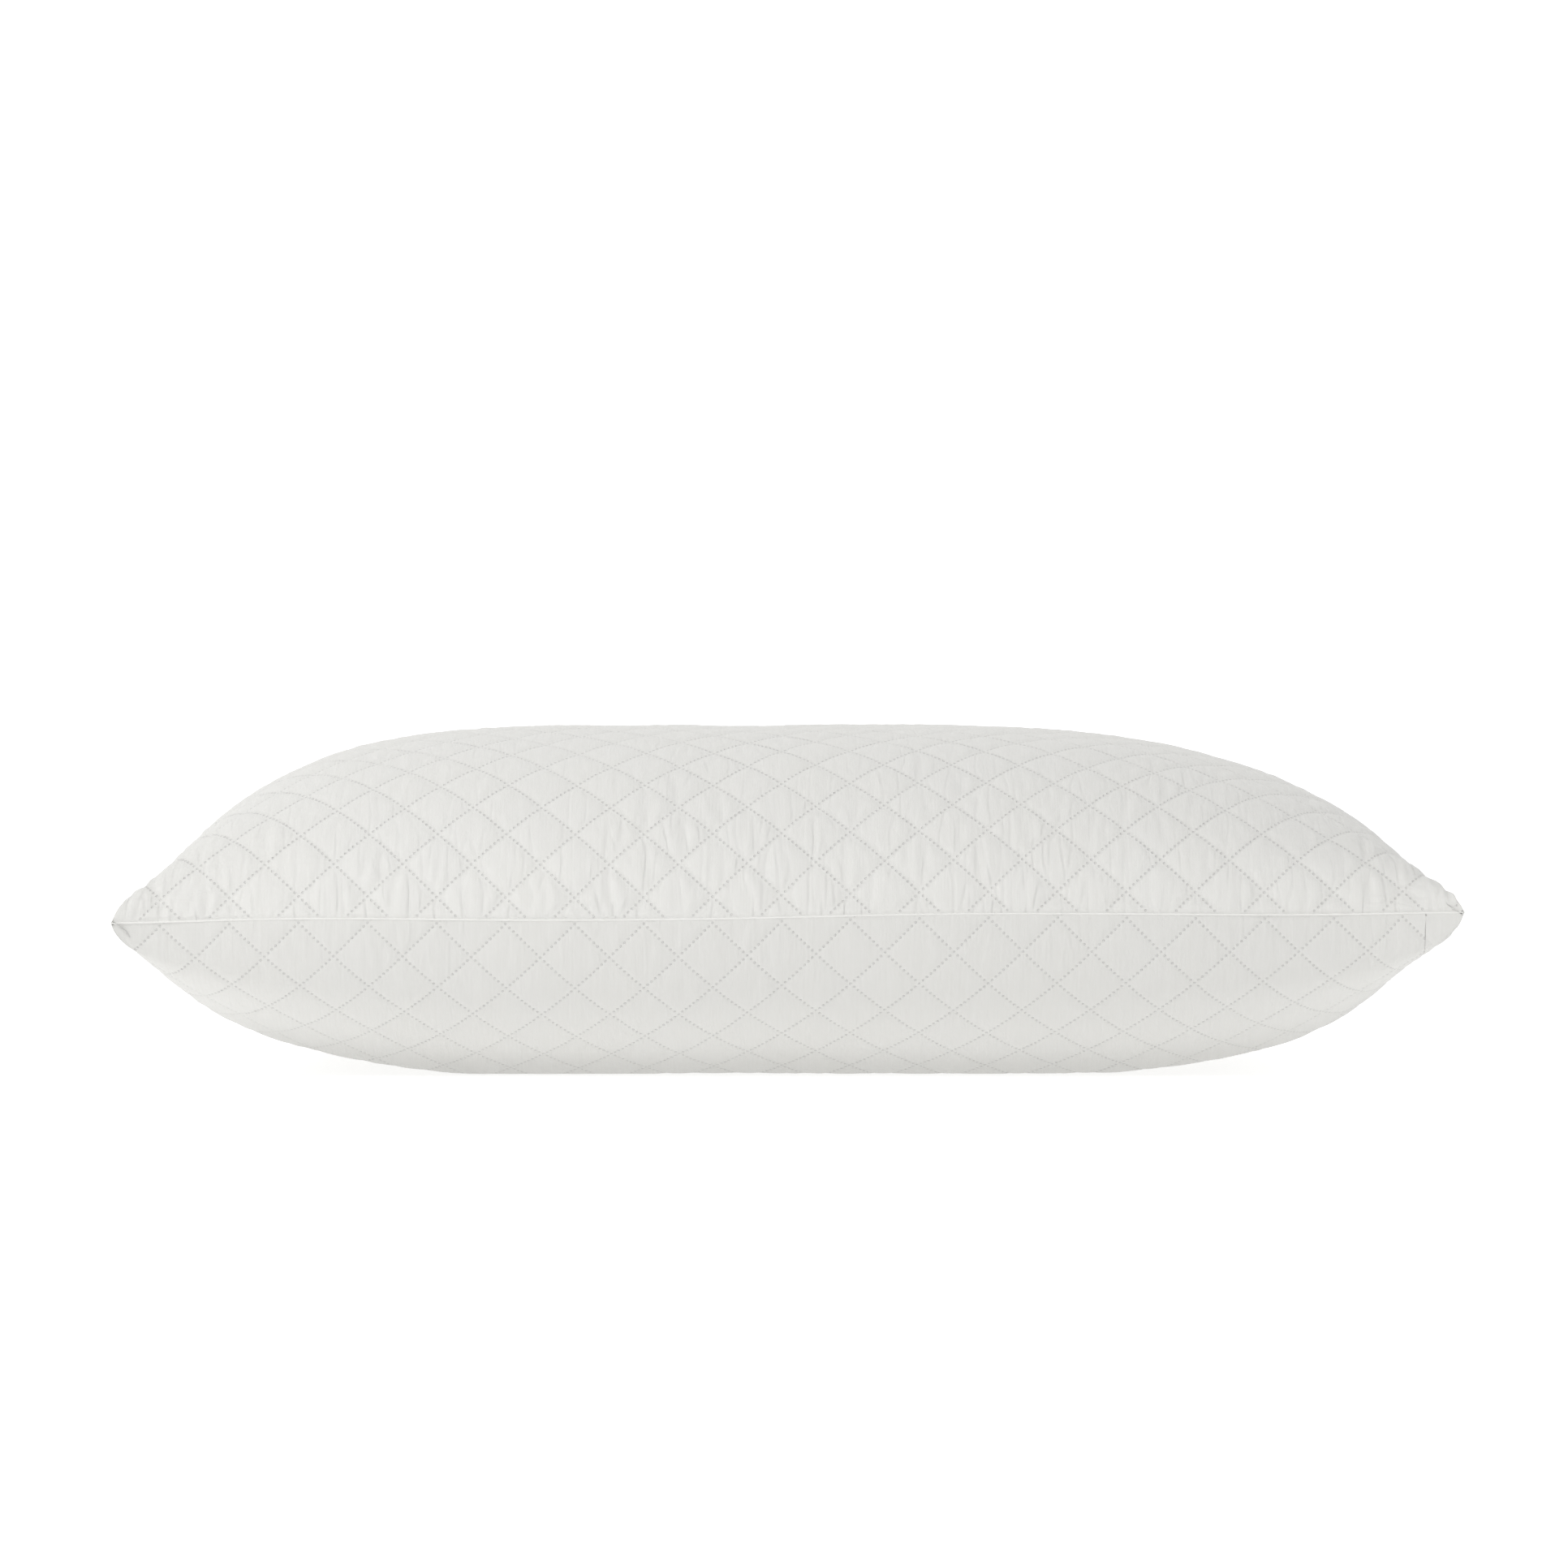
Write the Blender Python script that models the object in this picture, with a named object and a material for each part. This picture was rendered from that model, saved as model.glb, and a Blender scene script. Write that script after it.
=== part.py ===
"""Bed pillow: a quilted cover with a zip across one end, over an inner pillow.

Units are metres and +Z is up. The pillow rests on z = 0, centred on x = y = 0.
Its long sides run along X, and the zipped end is at +X.
"""

import math

import bmesh
import bpy
from mathutils import Matrix, Vector

MM = 0.001

# Overall sizes of the filled pillow, measured from corner tip to corner tip.
LENGTH = 0.640
WIDTH = 0.456
LOFT = 0.170
SEAM_HEIGHT = 0.077

# The corners stand out like ears, because the sides pull in as the pillow fills.
END_PULL_IN = 12 * MM
SIDE_PULL_IN = 12 * MM
PULL_IN_POWER = 10
CORNER_TRIM = 5 * MM
TRIM_POWER = 8

# Fullness of the panels, each as a power and a rounding: a high power stays level for longer
# and then falls more steeply, and a low rounding stands more upright at the seam.
TOP_LEFT_FALL = (5.2, 0.79)
TOP_RIGHT_FALL = (3.6, 0.61)
TOP_ACROSS_FALL = (3.75, 0.55)
BASE_LEFT_FALL = (4.0, 0.53)
BASE_RIGHT_FALL = (4.6, 0.67)
BASE_ACROSS_FALL = (2.5, 0.5)
CORNER_BLEND = 0.5
REST_SPREAD_ALONG = 1.03
REST_SPREAD_ACROSS = 1.28
GRID_ALONG = 16
GRID_ACROSS = 12

# Layers of the quilted cover and of the inner pillow.
GAP = 0.3 * MM
FACE_THICKNESS = 0.8 * MM
WADDING_THICKNESS = 3.0 * MM
BACKING_THICKNESS = 0.6 * MM
CASE_THICKNESS = 0.8 * MM
CASE_INSET = 14 * MM
CASE_CORNER_TRIM = 14 * MM

# Edge seam.
ALLOWANCE_WIDTH = 10 * MM
ALLOWANCE_THICKNESS = 2.2 * MM
THREAD_DIAMETER = 0.5 * MM
OVERLOCK_DIAMETER = 0.8 * MM
OUTLINE_STEPS = 12
FLANK_SLOPE = 1.5

# Zip closure along the end strip.
WINDOW_WIDTH = 9 * MM
ZIP_END_MARGIN = 53 * MM
ZIP_LENGTH = WIDTH - 2 * ZIP_END_MARGIN
TAPE_WIDTH = 9.5 * MM
TAPE_THICKNESS = 0.6 * MM
TAPE_OVERRUN = 8 * MM
TAPE_SINK = 2.6 * MM
TAPE_STITCH_PLACE = 0.7
COIL_DIAMETER = 2.0 * MM
COIL_SPACING = 1.6 * MM
STOP_LENGTH = 2.5 * MM

SLIDER_LENGTH = 10 * MM
SLIDER_WIDTH = 7.6 * MM
SLIDER_PLATE = 1.2 * MM
BAIL_WIRE = 1.0 * MM
BAIL_SINK = math.radians(10)
PULL_THICKNESS = 1.0 * MM
PULL_LENGTH = 18 * MM
PULL_WIDTH = 6.0 * MM
PULL_EYE_LENGTH = 3.2 * MM
PULL_EYE_WIDTH = 3.2 * MM

LABEL_WIDTH = 34 * MM
LABEL_DROP = 42 * MM
LABEL_THICKNESS = 0.4 * MM
LABEL_PLACE = -0.36

# Depths of the layers below the outside of the cover.
WADDING_DEPTH = FACE_THICKNESS + GAP
BACKING_DEPTH = WADDING_DEPTH + WADDING_THICKNESS + GAP
COVER_THICKNESS = BACKING_DEPTH + BACKING_THICKNESS
CORE_INSET = CASE_INSET + CASE_THICKNESS + GAP
LAYER_RIM = ALLOWANCE_THICKNESS / 2 + GAP + THREAD_DIAMETER + GAP

# Depth of the zip tapes, and the drop of the zip below the seam that keeps them clear of the
# turned-in edges at any slope of the cover.
TAPE_DEPTH = COVER_THICKNESS + TAPE_SINK + GAP
TAPE_REACH = COIL_SPACING / 2 + TAPE_WIDTH
ZIP_DROP = ALLOWANCE_THICKNESS / 2 + 2 * GAP + math.hypot(TAPE_REACH, TAPE_DEPTH + TAPE_THICKNESS)

# Length of tape left past the end stop, where the pull tab lies when the zip is open.
PULL_REST = PULL_LENGTH - SLIDER_LENGTH / 2 - STOP_LENGTH + 2 * GAP

TOP, BASE = 1, -1


def clear_scene():
    """Empty the scene and the data that would carry over."""
    for item in list(bpy.data.objects):
        bpy.data.objects.remove(item, do_unlink=True)
    for mesh in list(bpy.data.meshes):
        bpy.data.meshes.remove(mesh)


def make_material(name, colour, roughness, metallic=0.0):
    """A plain Principled material in the part's colour."""
    material = bpy.data.materials.new(name)
    material.use_nodes = True
    shader = material.node_tree.nodes["Principled BSDF"]
    shader.inputs["Base Color"].default_value = (*colour, 1.0)
    shader.inputs["Roughness"].default_value = roughness
    shader.inputs["Metallic"].default_value = metallic
    return material


def crown_height(side):
    """How far the panel's middle stands from the seam plane."""
    return LOFT - SEAM_HEIGHT if side == TOP else SEAM_HEIGHT


def fall(place, shape):
    """A share that is 1 at the middle and 0 at the places -1 and 1."""
    power, rounding = shape
    return max(0.0, 1 - abs(place) ** power) ** rounding


def bulge(u, w, side):
    """Share of the crown height at the place (u, w), each from -1 to 1."""
    if side == TOP:
        along = fall(u, TOP_LEFT_FALL if u < 0 else TOP_RIGHT_FALL)
        across = fall(w, TOP_ACROSS_FALL)
    else:
        along = fall(u, BASE_LEFT_FALL if u < 0 else BASE_RIGHT_FALL)
        across = fall(w, BASE_ACROSS_FALL)
        along = min(1.0, REST_SPREAD_ALONG * along)
        across = min(1.0, REST_SPREAD_ACROSS * across)
    if along < 1e-9 or across < 1e-9:
        return 0.0
    return (along ** -CORNER_BLEND + across ** -CORNER_BLEND - 1) ** (-1 / CORNER_BLEND)


def plan_point(u, w, inset=0.0, trim=0.0):
    """Plan position of (u, w) on a sheet that lies inset within the outline."""
    end_reach = LENGTH / 2 - END_PULL_IN * (1 - abs(w) ** PULL_IN_POWER)
    side_reach = WIDTH / 2 - SIDE_PULL_IN * (1 - abs(u) ** PULL_IN_POWER)
    corner = abs(u * w) ** TRIM_POWER
    x = u * end_reach * (1 - (inset + trim * corner) / (LENGTH / 2))
    y = w * side_reach * (1 - (inset + trim * corner) / (WIDTH / 2))
    return x, y


def sheet_point(u, w, side, inset, trim, lift=0.0):
    """Position of (u, w) on a puffed sheet whose edge stands lift off the seam plane."""
    x, y = plan_point(u, w, inset, trim)
    height = lift + (crown_height(side) - inset - lift) * bulge(u, w, side)
    return Vector((x, y, SEAM_HEIGHT + side * height))


def make_body(name, first, second, material, collection):
    """A closed body between two puffed sheets, each given as sheet_point's side, inset and so on."""
    bm = bmesh.new()
    bmesh.ops.create_grid(bm, x_segments=GRID_ALONG, y_segments=GRID_ACROSS, size=1.0)
    for face in bm.faces[:]:
        outward = sorted(face.verts, key=lambda vertex: abs(vertex.co.x) + abs(vertex.co.y))
        bmesh.ops.connect_verts(bm, verts=[outward[0], outward[-1]])
    near = bm.verts[:]
    copied = bmesh.ops.extrude_face_region(bm, geom=bm.faces[:], use_keep_orig=True)
    far = [item for item in copied["geom"] if isinstance(item, bmesh.types.BMVert)]
    for vertices, sheet in ((near, first), (far, second)):
        for vertex in vertices:
            u = math.sin(vertex.co.x * math.pi / 2)
            w = math.sin(vertex.co.y * math.pi / 2)
            vertex.co = sheet_point(u, w, *sheet)
    return finish_mesh(bm, name, material, collection)


def finish_mesh(bm, name, material, collection):
    """Turn bm into a named object with outward faces."""
    bmesh.ops.recalc_face_normals(bm, faces=bm.faces)
    mesh = bpy.data.meshes.new(name)
    bm.to_mesh(mesh)
    bm.free()
    item = bpy.data.objects.new(name, mesh)
    item.data.materials.append(material)
    collection.objects.link(item)
    return item


def make_layer(name, side, depth, thickness, material, collection, cutters, trim=0.0):
    """One layer of a panel, its outside at the given depth, cut with each of the cutters."""
    item = make_body(name, (side, depth, trim), (side, depth + thickness, trim), material, collection)
    for cutter in cutters:
        cut(item, cutter)
    return item


def make_seam_slab(name, half_height, material, cutters):
    """A cutter that keeps a panel's edge half_height off the seam plane."""
    return make_block(name, (LENGTH * 2, WIDTH * 2, half_height * 2), (0, 0, SEAM_HEIGHT), material,
                      cutters)


def outline_points(inset, trim):
    """Points round the edge of a sheet, in order, closer together near the corners."""
    steps = [math.sin((i / OUTLINE_STEPS - 0.5) * math.pi) for i in range(OUTLINE_STEPS)]
    sides = [[(s, -1) for s in steps], [(1, s) for s in steps]]
    sides += [[(-s, 1) for s in steps], [(-1, -s) for s in steps]]
    return [plan_point(u, w, inset, trim) for side in sides for u, w in side]


def add_closed_spline(curve, points):
    """Add a closed run of straight stretches through the plan points."""
    spline = curve.splines.new("POLY")
    spline.points.add(len(points) - 1)
    for target, (x, y) in zip(spline.points, points):
        target.co = (x, y, 0, 1)
    spline.use_cyclic_u = True


def make_curve(name, dimensions, material, collection):
    """An empty curve object that renders as it shows."""
    curve = bpy.data.curves.new(name, "CURVE")
    curve.dimensions = dimensions
    curve.resolution_u = 1
    curve.render_resolution_u = 0
    curve.materials.append(material)
    item = bpy.data.objects.new(name, curve)
    collection.objects.link(item)
    return item


def make_flat(name, outlines, thickness, material, collection):
    """A flat plate cut to the given outlines, the first outside and the rest holes."""
    item = make_curve(name, "2D", material, collection)
    item.data.fill_mode = "BOTH"
    item.data.extrude = thickness / 2
    for outline in outlines:
        add_closed_spline(item.data, outline)
    return item


def make_thread_ring(name, inset, trim, diameter, height, material, collection):
    """A thread that runs all round the pillow inside the seam."""
    item = make_curve(name, "3D", material, collection)
    item.data.bevel_depth = diameter / 2
    item.data.bevel_resolution = 0
    add_closed_spline(item.data, outline_points(inset, trim))
    item.location.z = height
    return item


def make_block(name, size, place, material, collection, parent=None):
    """A rectangular block of the given size at the given place."""
    bm = bmesh.new()
    bmesh.ops.create_cube(bm, size=1.0)
    bmesh.ops.scale(bm, vec=size, verts=bm.verts)
    item = finish_mesh(bm, name, material, collection)
    item.location = place
    item.parent = parent
    return item


def make_rod(name, diameter, length, place, sides, material, collection, parent):
    """A round rod along Y."""
    bm = bmesh.new()
    bmesh.ops.create_cone(bm, cap_ends=True, segments=sides, radius1=diameter / 2,
                          radius2=diameter / 2, depth=length)
    bmesh.ops.rotate(bm, cent=(0, 0, 0), matrix=Matrix.Rotation(math.pi / 2, 3, "X"), verts=bm.verts)
    item = finish_mesh(bm, name, material, collection)
    item.location = place
    item.parent = parent
    return item


def cut(item, cutter, operation="DIFFERENCE"):
    """Cut one object with another, or join it on."""
    step = item.modifiers.new(cutter.name, "BOOLEAN")
    step.operation = operation
    step.object = cutter
    step.solver = "EXACT"


def rectangle(x_low, x_high, y_low, y_high):
    """Corner points of a rectangle, in order."""
    return [(x_low, y_low), (x_high, y_low), (x_high, y_high), (x_low, y_high)]


def tab_outline(half_width, start, end, steps=6):
    """A long tab along Y whose far end is a half circle."""
    points = [(-half_width, start), (half_width, start)]
    for i in range(steps + 1):
        angle = math.pi * i / steps
        points.append((half_width * math.cos(angle), end - half_width * (1 - math.sin(angle))))
    return points


def base_depth(x):
    """Depth of the cover's outside below the seam plane at y = 0."""
    reach = LENGTH / 2 - END_PULL_IN
    return SEAM_HEIGHT * bulge(x / reach, 0, BASE)


def zip_place():
    """The zip's point on the cover at y = 0, and the turn that faces it outward."""
    near, far = 0.0, LENGTH / 2 - END_PULL_IN
    for _ in range(40):
        x = (near + far) / 2
        near, far = (x, far) if base_depth(x) > ZIP_DROP else (near, x)
    step = 0.5 * MM
    slope = (base_depth(x - step) - base_depth(x + step)) / (2 * step)
    outward = Vector((slope, 0, -1)).normalized()
    turn = math.atan2(outward.x, outward.z)
    return Vector((x, 0, SEAM_HEIGHT - base_depth(x))), turn, outward


def cover_layers(cloth, wadding, backing, cutters):
    """Name, depth, thickness, material and seam cutter of each layer of the quilted cover."""
    at_seam = make_seam_slab("cut_seam_plane", GAP / 2, cloth, cutters)
    over_allowance = make_seam_slab("cut_over_allowance", LAYER_RIM, cloth, cutters)
    return [("face", 0, FACE_THICKNESS, cloth, at_seam),
            ("wadding", WADDING_DEPTH, WADDING_THICKNESS, wadding, over_allowance),
            ("backing", BACKING_DEPTH, BACKING_THICKNESS, backing, over_allowance)]


def make_cover_top(layers, parts):
    """The three layers of the upper quilted panel."""
    for layer, depth, thickness, material, seam_cutter in layers:
        make_layer("cover_top_" + layer, TOP, depth, thickness, material, parts, [seam_cutter])


def make_cover_base(layers, parts, cutters):
    """The lower layers, each split at the zip into the base panel and the end strip.

    A thick layer is trimmed back further from the zip, so that the upright split between the
    two panels stays inside the opening however steep the cover is there.
    """
    centre, turn, outward = zip_place()
    size = (LENGTH, WIDTH * 2, LOFT * 2)
    for layer, depth, thickness, material, seam_cutter in layers:
        opening = WINDOW_WIDTH + thickness * abs(outward.x / outward.z)
        window = make_block("cut_window_" + layer, (opening, ZIP_LENGTH, CASE_INSET * 2), centre,
                            material, cutters)
        window.rotation_euler.y = turn
        split = centre.x - outward.x * (depth + thickness / 2)
        beyond = make_block("cut_beyond_" + layer, size, (split - GAP / 2 + LENGTH / 2, 0, LOFT / 2),
                            material, cutters)
        before = make_block("cut_before_" + layer, size, (split + GAP / 2 - LENGTH / 2, 0, LOFT / 2),
                            material, cutters)
        for name, split_cutter in (("cover_base_", beyond), ("end_strip_", before)):
            make_layer(name + layer, BASE, depth, thickness, material, parts,
                       [window, seam_cutter, split_cutter])


def inside_face(height):
    """Inset that clears the face cloth at a height above or below the seam plane."""
    return WADDING_DEPTH + height / FLANK_SLOPE


def make_edge_seam(cloth, thread, parts):
    """The turned-in raw edges with the two threads that run round them."""
    outer = inside_face(ALLOWANCE_THICKNESS / 2)
    inner = outer + ALLOWANCE_WIDTH
    item = make_flat("seam_allowance", [outline_points(outer, CORNER_TRIM),
                                        outline_points(inner, CORNER_TRIM)],
                     ALLOWANCE_THICKNESS, cloth, parts)
    item.location.z = SEAM_HEIGHT
    height = ALLOWANCE_THICKNESS / 2 + GAP + THREAD_DIAMETER / 2
    inset = inside_face(height + THREAD_DIAMETER / 2) + THREAD_DIAMETER / 2
    make_thread_ring("seam_lockstitch", inset, CORNER_TRIM, THREAD_DIAMETER, SEAM_HEIGHT + height,
                     thread, parts)
    make_thread_ring("seam_overlock", inner + GAP + OVERLOCK_DIAMETER / 2, CORNER_TRIM,
                     OVERLOCK_DIAMETER, SEAM_HEIGHT, thread, parts)


def make_inner_pillow(case, thread, fibre, parts, cutters):
    """The plain casing, its closing thread and the filling."""
    at_seam = make_seam_slab("cut_inner_seam", THREAD_DIAMETER / 2 + GAP, case, cutters)
    for name, side in (("inner_case_top", TOP), ("inner_case_base", BASE)):
        make_layer(name, side, CASE_INSET, CASE_THICKNESS, case, parts, [at_seam], CASE_CORNER_TRIM)
    make_thread_ring("inner_case_seam", CASE_INSET + CASE_THICKNESS / 2, CASE_CORNER_TRIM,
                     THREAD_DIAMETER, SEAM_HEIGHT, thread, parts)
    make_body("fill_core", (TOP, CORE_INSET, CASE_CORNER_TRIM, GAP / 2),
              (BASE, CORE_INSET, CASE_CORNER_TRIM, GAP / 2), fibre, parts)


def bail_radius():
    """Radius of the bail's wire, clear of the pull tab's square bar as it turns."""
    bar_reach = PULL_THICKNESS / 2 * (1 + math.sqrt(2))
    return GAP + bar_reach + GAP + BAIL_WIRE / 2


def zip_levels():
    """Heights of the zip's pieces along its outward direction, from the cover's outside."""
    tape_top = -TAPE_DEPTH
    coil = tape_top + GAP + COIL_DIAMETER / 2
    plate_low = coil + COIL_DIAMETER / 2 + GAP
    plate_top = plate_low + SLIDER_PLATE
    hinge = plate_top + GAP + PULL_THICKNESS / 2
    wing_top = tape_top - TAPE_THICKNESS - GAP
    return {"tape": tape_top - TAPE_THICKNESS / 2, "coil": coil, "plate_low": plate_low,
            "plate_top": plate_top, "hinge": hinge, "wing_top": wing_top}


def make_zip_sides(tape, nylon, thread, parts, line, levels):
    """A tape, a coil and a holding thread on each side of the zip."""
    run = ZIP_LENGTH - 2 * STOP_LENGTH - PULL_REST - 2 * GAP
    coil_x = (COIL_SPACING + COIL_DIAMETER) / 2
    tape_x = (COIL_SPACING + TAPE_WIDTH) / 2
    stitch_x = COIL_SPACING / 2 + TAPE_WIDTH * TAPE_STITCH_PLACE
    stitch_z = levels["tape"] - TAPE_THICKNESS / 2 - GAP - THREAD_DIAMETER / 2
    for side, sign in (("base", 1), ("strip", -1)):
        make_block("zip_tape_%s_side" % side,
                   (TAPE_WIDTH, ZIP_LENGTH + 2 * TAPE_OVERRUN, TAPE_THICKNESS),
                   (sign * tape_x, 0, levels["tape"]), tape, parts, line)
        make_rod("zip_coil_%s_side" % side, COIL_DIAMETER, run,
                 (sign * coil_x, PULL_REST / 2, levels["coil"]), 8, nylon, parts, line)
        make_rod("zip_stitch_%s_side" % side, THREAD_DIAMETER, ZIP_LENGTH,
                 (sign * stitch_x, 0, stitch_z), 6, thread, parts, line)


def make_zip_stops(metal, parts, line, levels):
    """One end stop across both coils and a top stop on each tape."""
    place_y = (ZIP_LENGTH - STOP_LENGTH) / 2
    make_block("zip_end_stop", (COIL_SPACING + 2 * COIL_DIAMETER, STOP_LENGTH, COIL_DIAMETER),
               (0, PULL_REST - place_y, levels["coil"]), metal, parts, line)
    for side, sign in (("base", 1), ("strip", -1)):
        make_block("zip_top_stop_%s_side" % side, (COIL_DIAMETER, STOP_LENGTH, COIL_DIAMETER),
                   (sign * (COIL_SPACING + COIL_DIAMETER) / 2, place_y, levels["coil"]), metal, parts,
                   line)


def make_bail(metal, cutters):
    """A wire arch along Y, a little more than a half circle so that its feet reach into the plate."""
    bm = bmesh.new()
    circle = bmesh.ops.create_circle(bm, cap_ends=True, segments=8, radius=BAIL_WIRE / 2)
    radius = bail_radius()
    bmesh.ops.translate(bm, vec=(0, radius, 0), verts=circle["verts"])
    bmesh.ops.rotate(bm, cent=(0, 0, 0), matrix=Matrix.Rotation(-BAIL_SINK, 3, "X"), verts=bm.verts)
    bmesh.ops.spin(bm, geom=bm.verts[:] + bm.edges[:] + bm.faces[:], cent=(0, 0, 0), axis=(1, 0, 0),
                   dvec=(0, 0, 0), angle=math.pi + 2 * BAIL_SINK, steps=8, use_merge=False)
    return finish_mesh(bm, "slider_bail", metal, cutters)


def make_slider(metal, parts, cutters, line, levels):
    """The slider body: two plates on a middle post, with a wire bail on top."""
    carriage = bpy.data.objects.new("slider_carriage", None)
    parts.objects.link(carriage)
    carriage.parent = line
    carriage.location.y = (ZIP_LENGTH - SLIDER_LENGTH) / 2 - STOP_LENGTH - GAP
    plate = (SLIDER_WIDTH, SLIDER_LENGTH, SLIDER_PLATE)
    body = make_block("zip_slider_body", plate, (0, 0, levels["plate_top"] - SLIDER_PLATE / 2), metal,
                      parts, carriage)
    wing_middle = levels["wing_top"] - SLIDER_PLATE / 2
    post_length = levels["plate_top"] - SLIDER_PLATE / 2 - wing_middle
    post = make_block("slider_post", (COIL_SPACING - 2 * GAP, SLIDER_LENGTH / 2, post_length),
                      (0, 0, wing_middle + post_length / 2), metal, cutters, carriage)
    wing = make_block("slider_wing", plate, (0, 0, wing_middle), metal, cutters, carriage)
    bail = make_bail(metal, cutters)
    bail.parent = carriage
    bail.location.z = levels["plate_top"]
    for piece in (post, wing, bail):
        cut(body, piece, "UNION")
    return carriage


def make_pull_tab(metal, parts, carriage, levels):
    """The pull tab, hinged on its cross bar inside the bail and folded back along the zip."""
    half_bar = PULL_THICKNESS / 2
    eye = rectangle(-PULL_EYE_WIDTH / 2, PULL_EYE_WIDTH / 2, half_bar, half_bar + PULL_EYE_LENGTH)
    outline = tab_outline(PULL_WIDTH / 2, -half_bar, PULL_LENGTH)
    item = make_flat("zip_pull_tab", [outline, eye], PULL_THICKNESS, metal, parts)
    item.parent = carriage
    item.location.z = levels["hinge"]
    item.rotation_euler.z = math.pi
    return item


def make_zip(tape, nylon, metal, thread, parts, cutters):
    """The whole zip, set along a line on the cover's end."""
    centre, turn, _ = zip_place()
    line = bpy.data.objects.new("zip_line", None)
    parts.objects.link(line)
    line.location = centre
    line.rotation_euler.y = turn
    levels = zip_levels()
    make_zip_sides(tape, nylon, thread, parts, line, levels)
    make_zip_stops(metal, parts, line, levels)
    carriage = make_slider(metal, parts, cutters, line, levels)
    make_pull_tab(metal, parts, carriage, levels)


def make_label(cloth, parts):
    """The blank care label that hangs from the far side's seam."""
    x, y = plan_point(LABEL_PLACE, 1)
    make_block("care_label", (LABEL_WIDTH, LABEL_THICKNESS, LABEL_DROP),
               (x, y + GAP + LABEL_THICKNESS / 2, SEAM_HEIGHT - GAP - LABEL_DROP / 2), cloth, parts)


def main():
    clear_scene()
    parts = bpy.data.collections.new("bed_pillow")
    cutters = bpy.data.collections.new("cutters")
    bpy.context.scene.collection.children.link(parts)
    bpy.context.scene.collection.children.link(cutters)

    cloth = make_material("face_cloth", (0.76, 0.76, 0.73), 0.85)
    wadding = make_material("wadding_fibre", (0.86, 0.86, 0.86), 0.95)
    backing = make_material("non_woven_backing", (0.80, 0.80, 0.79), 0.9)
    case = make_material("inner_casing_cloth", (0.82, 0.82, 0.80), 0.85)
    fibre = make_material("fill_fibre", (0.90, 0.90, 0.90), 0.95)
    thread = make_material("sewing_thread", (0.84, 0.84, 0.82), 0.6)
    tape = make_material("zip_tape", (0.78, 0.78, 0.76), 0.8)
    nylon = make_material("zip_nylon", (0.80, 0.80, 0.78), 0.4)
    metal = make_material("zip_metal", (0.72, 0.72, 0.72), 0.3, 1.0)
    label = make_material("label_satin", (0.85, 0.85, 0.84), 0.5)

    layers = cover_layers(cloth, wadding, backing, cutters)
    make_cover_top(layers, parts)
    make_cover_base(layers, parts, cutters)
    make_edge_seam(cloth, thread, parts)
    make_zip(tape, nylon, metal, thread, parts, cutters)
    make_inner_pillow(case, thread, fibre, parts, cutters)
    make_label(label, parts)

    for item in cutters.objects:
        item.hide_render = True
        item.display_type = "WIRE"
    print("modelled", len([item for item in parts.objects if item.type != "EMPTY"]), "pieces")


main()
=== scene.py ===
# %% [markdown]
# # A quilted bed pillow
#
# The pillow is a quilted cover over an inner pillow. The cover is two quilted panels joined
# by a seam all the way round, and the lower panel is split at one end by a zip. The frame
# gives the place of every part of it. This lesson builds the soft outside and the finishes.

# %% Load the frame
import math

import bmesh
import bpy
import numpy as np
from mathutils import Matrix, Vector
from mathutils.bvhtree import BVHTree


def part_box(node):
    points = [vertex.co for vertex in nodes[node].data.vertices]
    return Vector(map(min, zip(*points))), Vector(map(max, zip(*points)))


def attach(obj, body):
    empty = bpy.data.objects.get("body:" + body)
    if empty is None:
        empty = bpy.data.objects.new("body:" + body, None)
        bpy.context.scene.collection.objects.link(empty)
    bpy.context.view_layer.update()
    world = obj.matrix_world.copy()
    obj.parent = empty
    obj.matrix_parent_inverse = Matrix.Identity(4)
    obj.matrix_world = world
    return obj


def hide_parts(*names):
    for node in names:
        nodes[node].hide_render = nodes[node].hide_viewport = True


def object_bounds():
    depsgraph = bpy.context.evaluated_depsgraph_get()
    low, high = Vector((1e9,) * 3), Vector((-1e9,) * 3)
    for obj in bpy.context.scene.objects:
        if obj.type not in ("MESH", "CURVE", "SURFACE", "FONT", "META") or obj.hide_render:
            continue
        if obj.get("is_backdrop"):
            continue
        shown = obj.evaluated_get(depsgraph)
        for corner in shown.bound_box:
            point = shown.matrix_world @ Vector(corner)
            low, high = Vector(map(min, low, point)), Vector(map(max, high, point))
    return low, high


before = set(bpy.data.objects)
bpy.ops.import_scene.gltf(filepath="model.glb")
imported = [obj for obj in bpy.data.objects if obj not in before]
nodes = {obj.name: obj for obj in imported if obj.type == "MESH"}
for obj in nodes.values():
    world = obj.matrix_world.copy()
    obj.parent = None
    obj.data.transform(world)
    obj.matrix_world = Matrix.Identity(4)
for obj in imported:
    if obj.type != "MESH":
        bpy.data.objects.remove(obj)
frame_low, frame_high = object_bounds()
print("frame size in mm:", [round(1000 * side) for side in frame_high - frame_low])

# %% [markdown]
# ## Sizes
#
# The panels, the seam and the zip are all set out from a few sizes. They could be typed in, but
# then a change to the frame would leave the cloth behind, so they are read from the frame. The
# seam's height is the middle of the turned-in edges, and the zip's place comes from its tapes.

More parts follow.
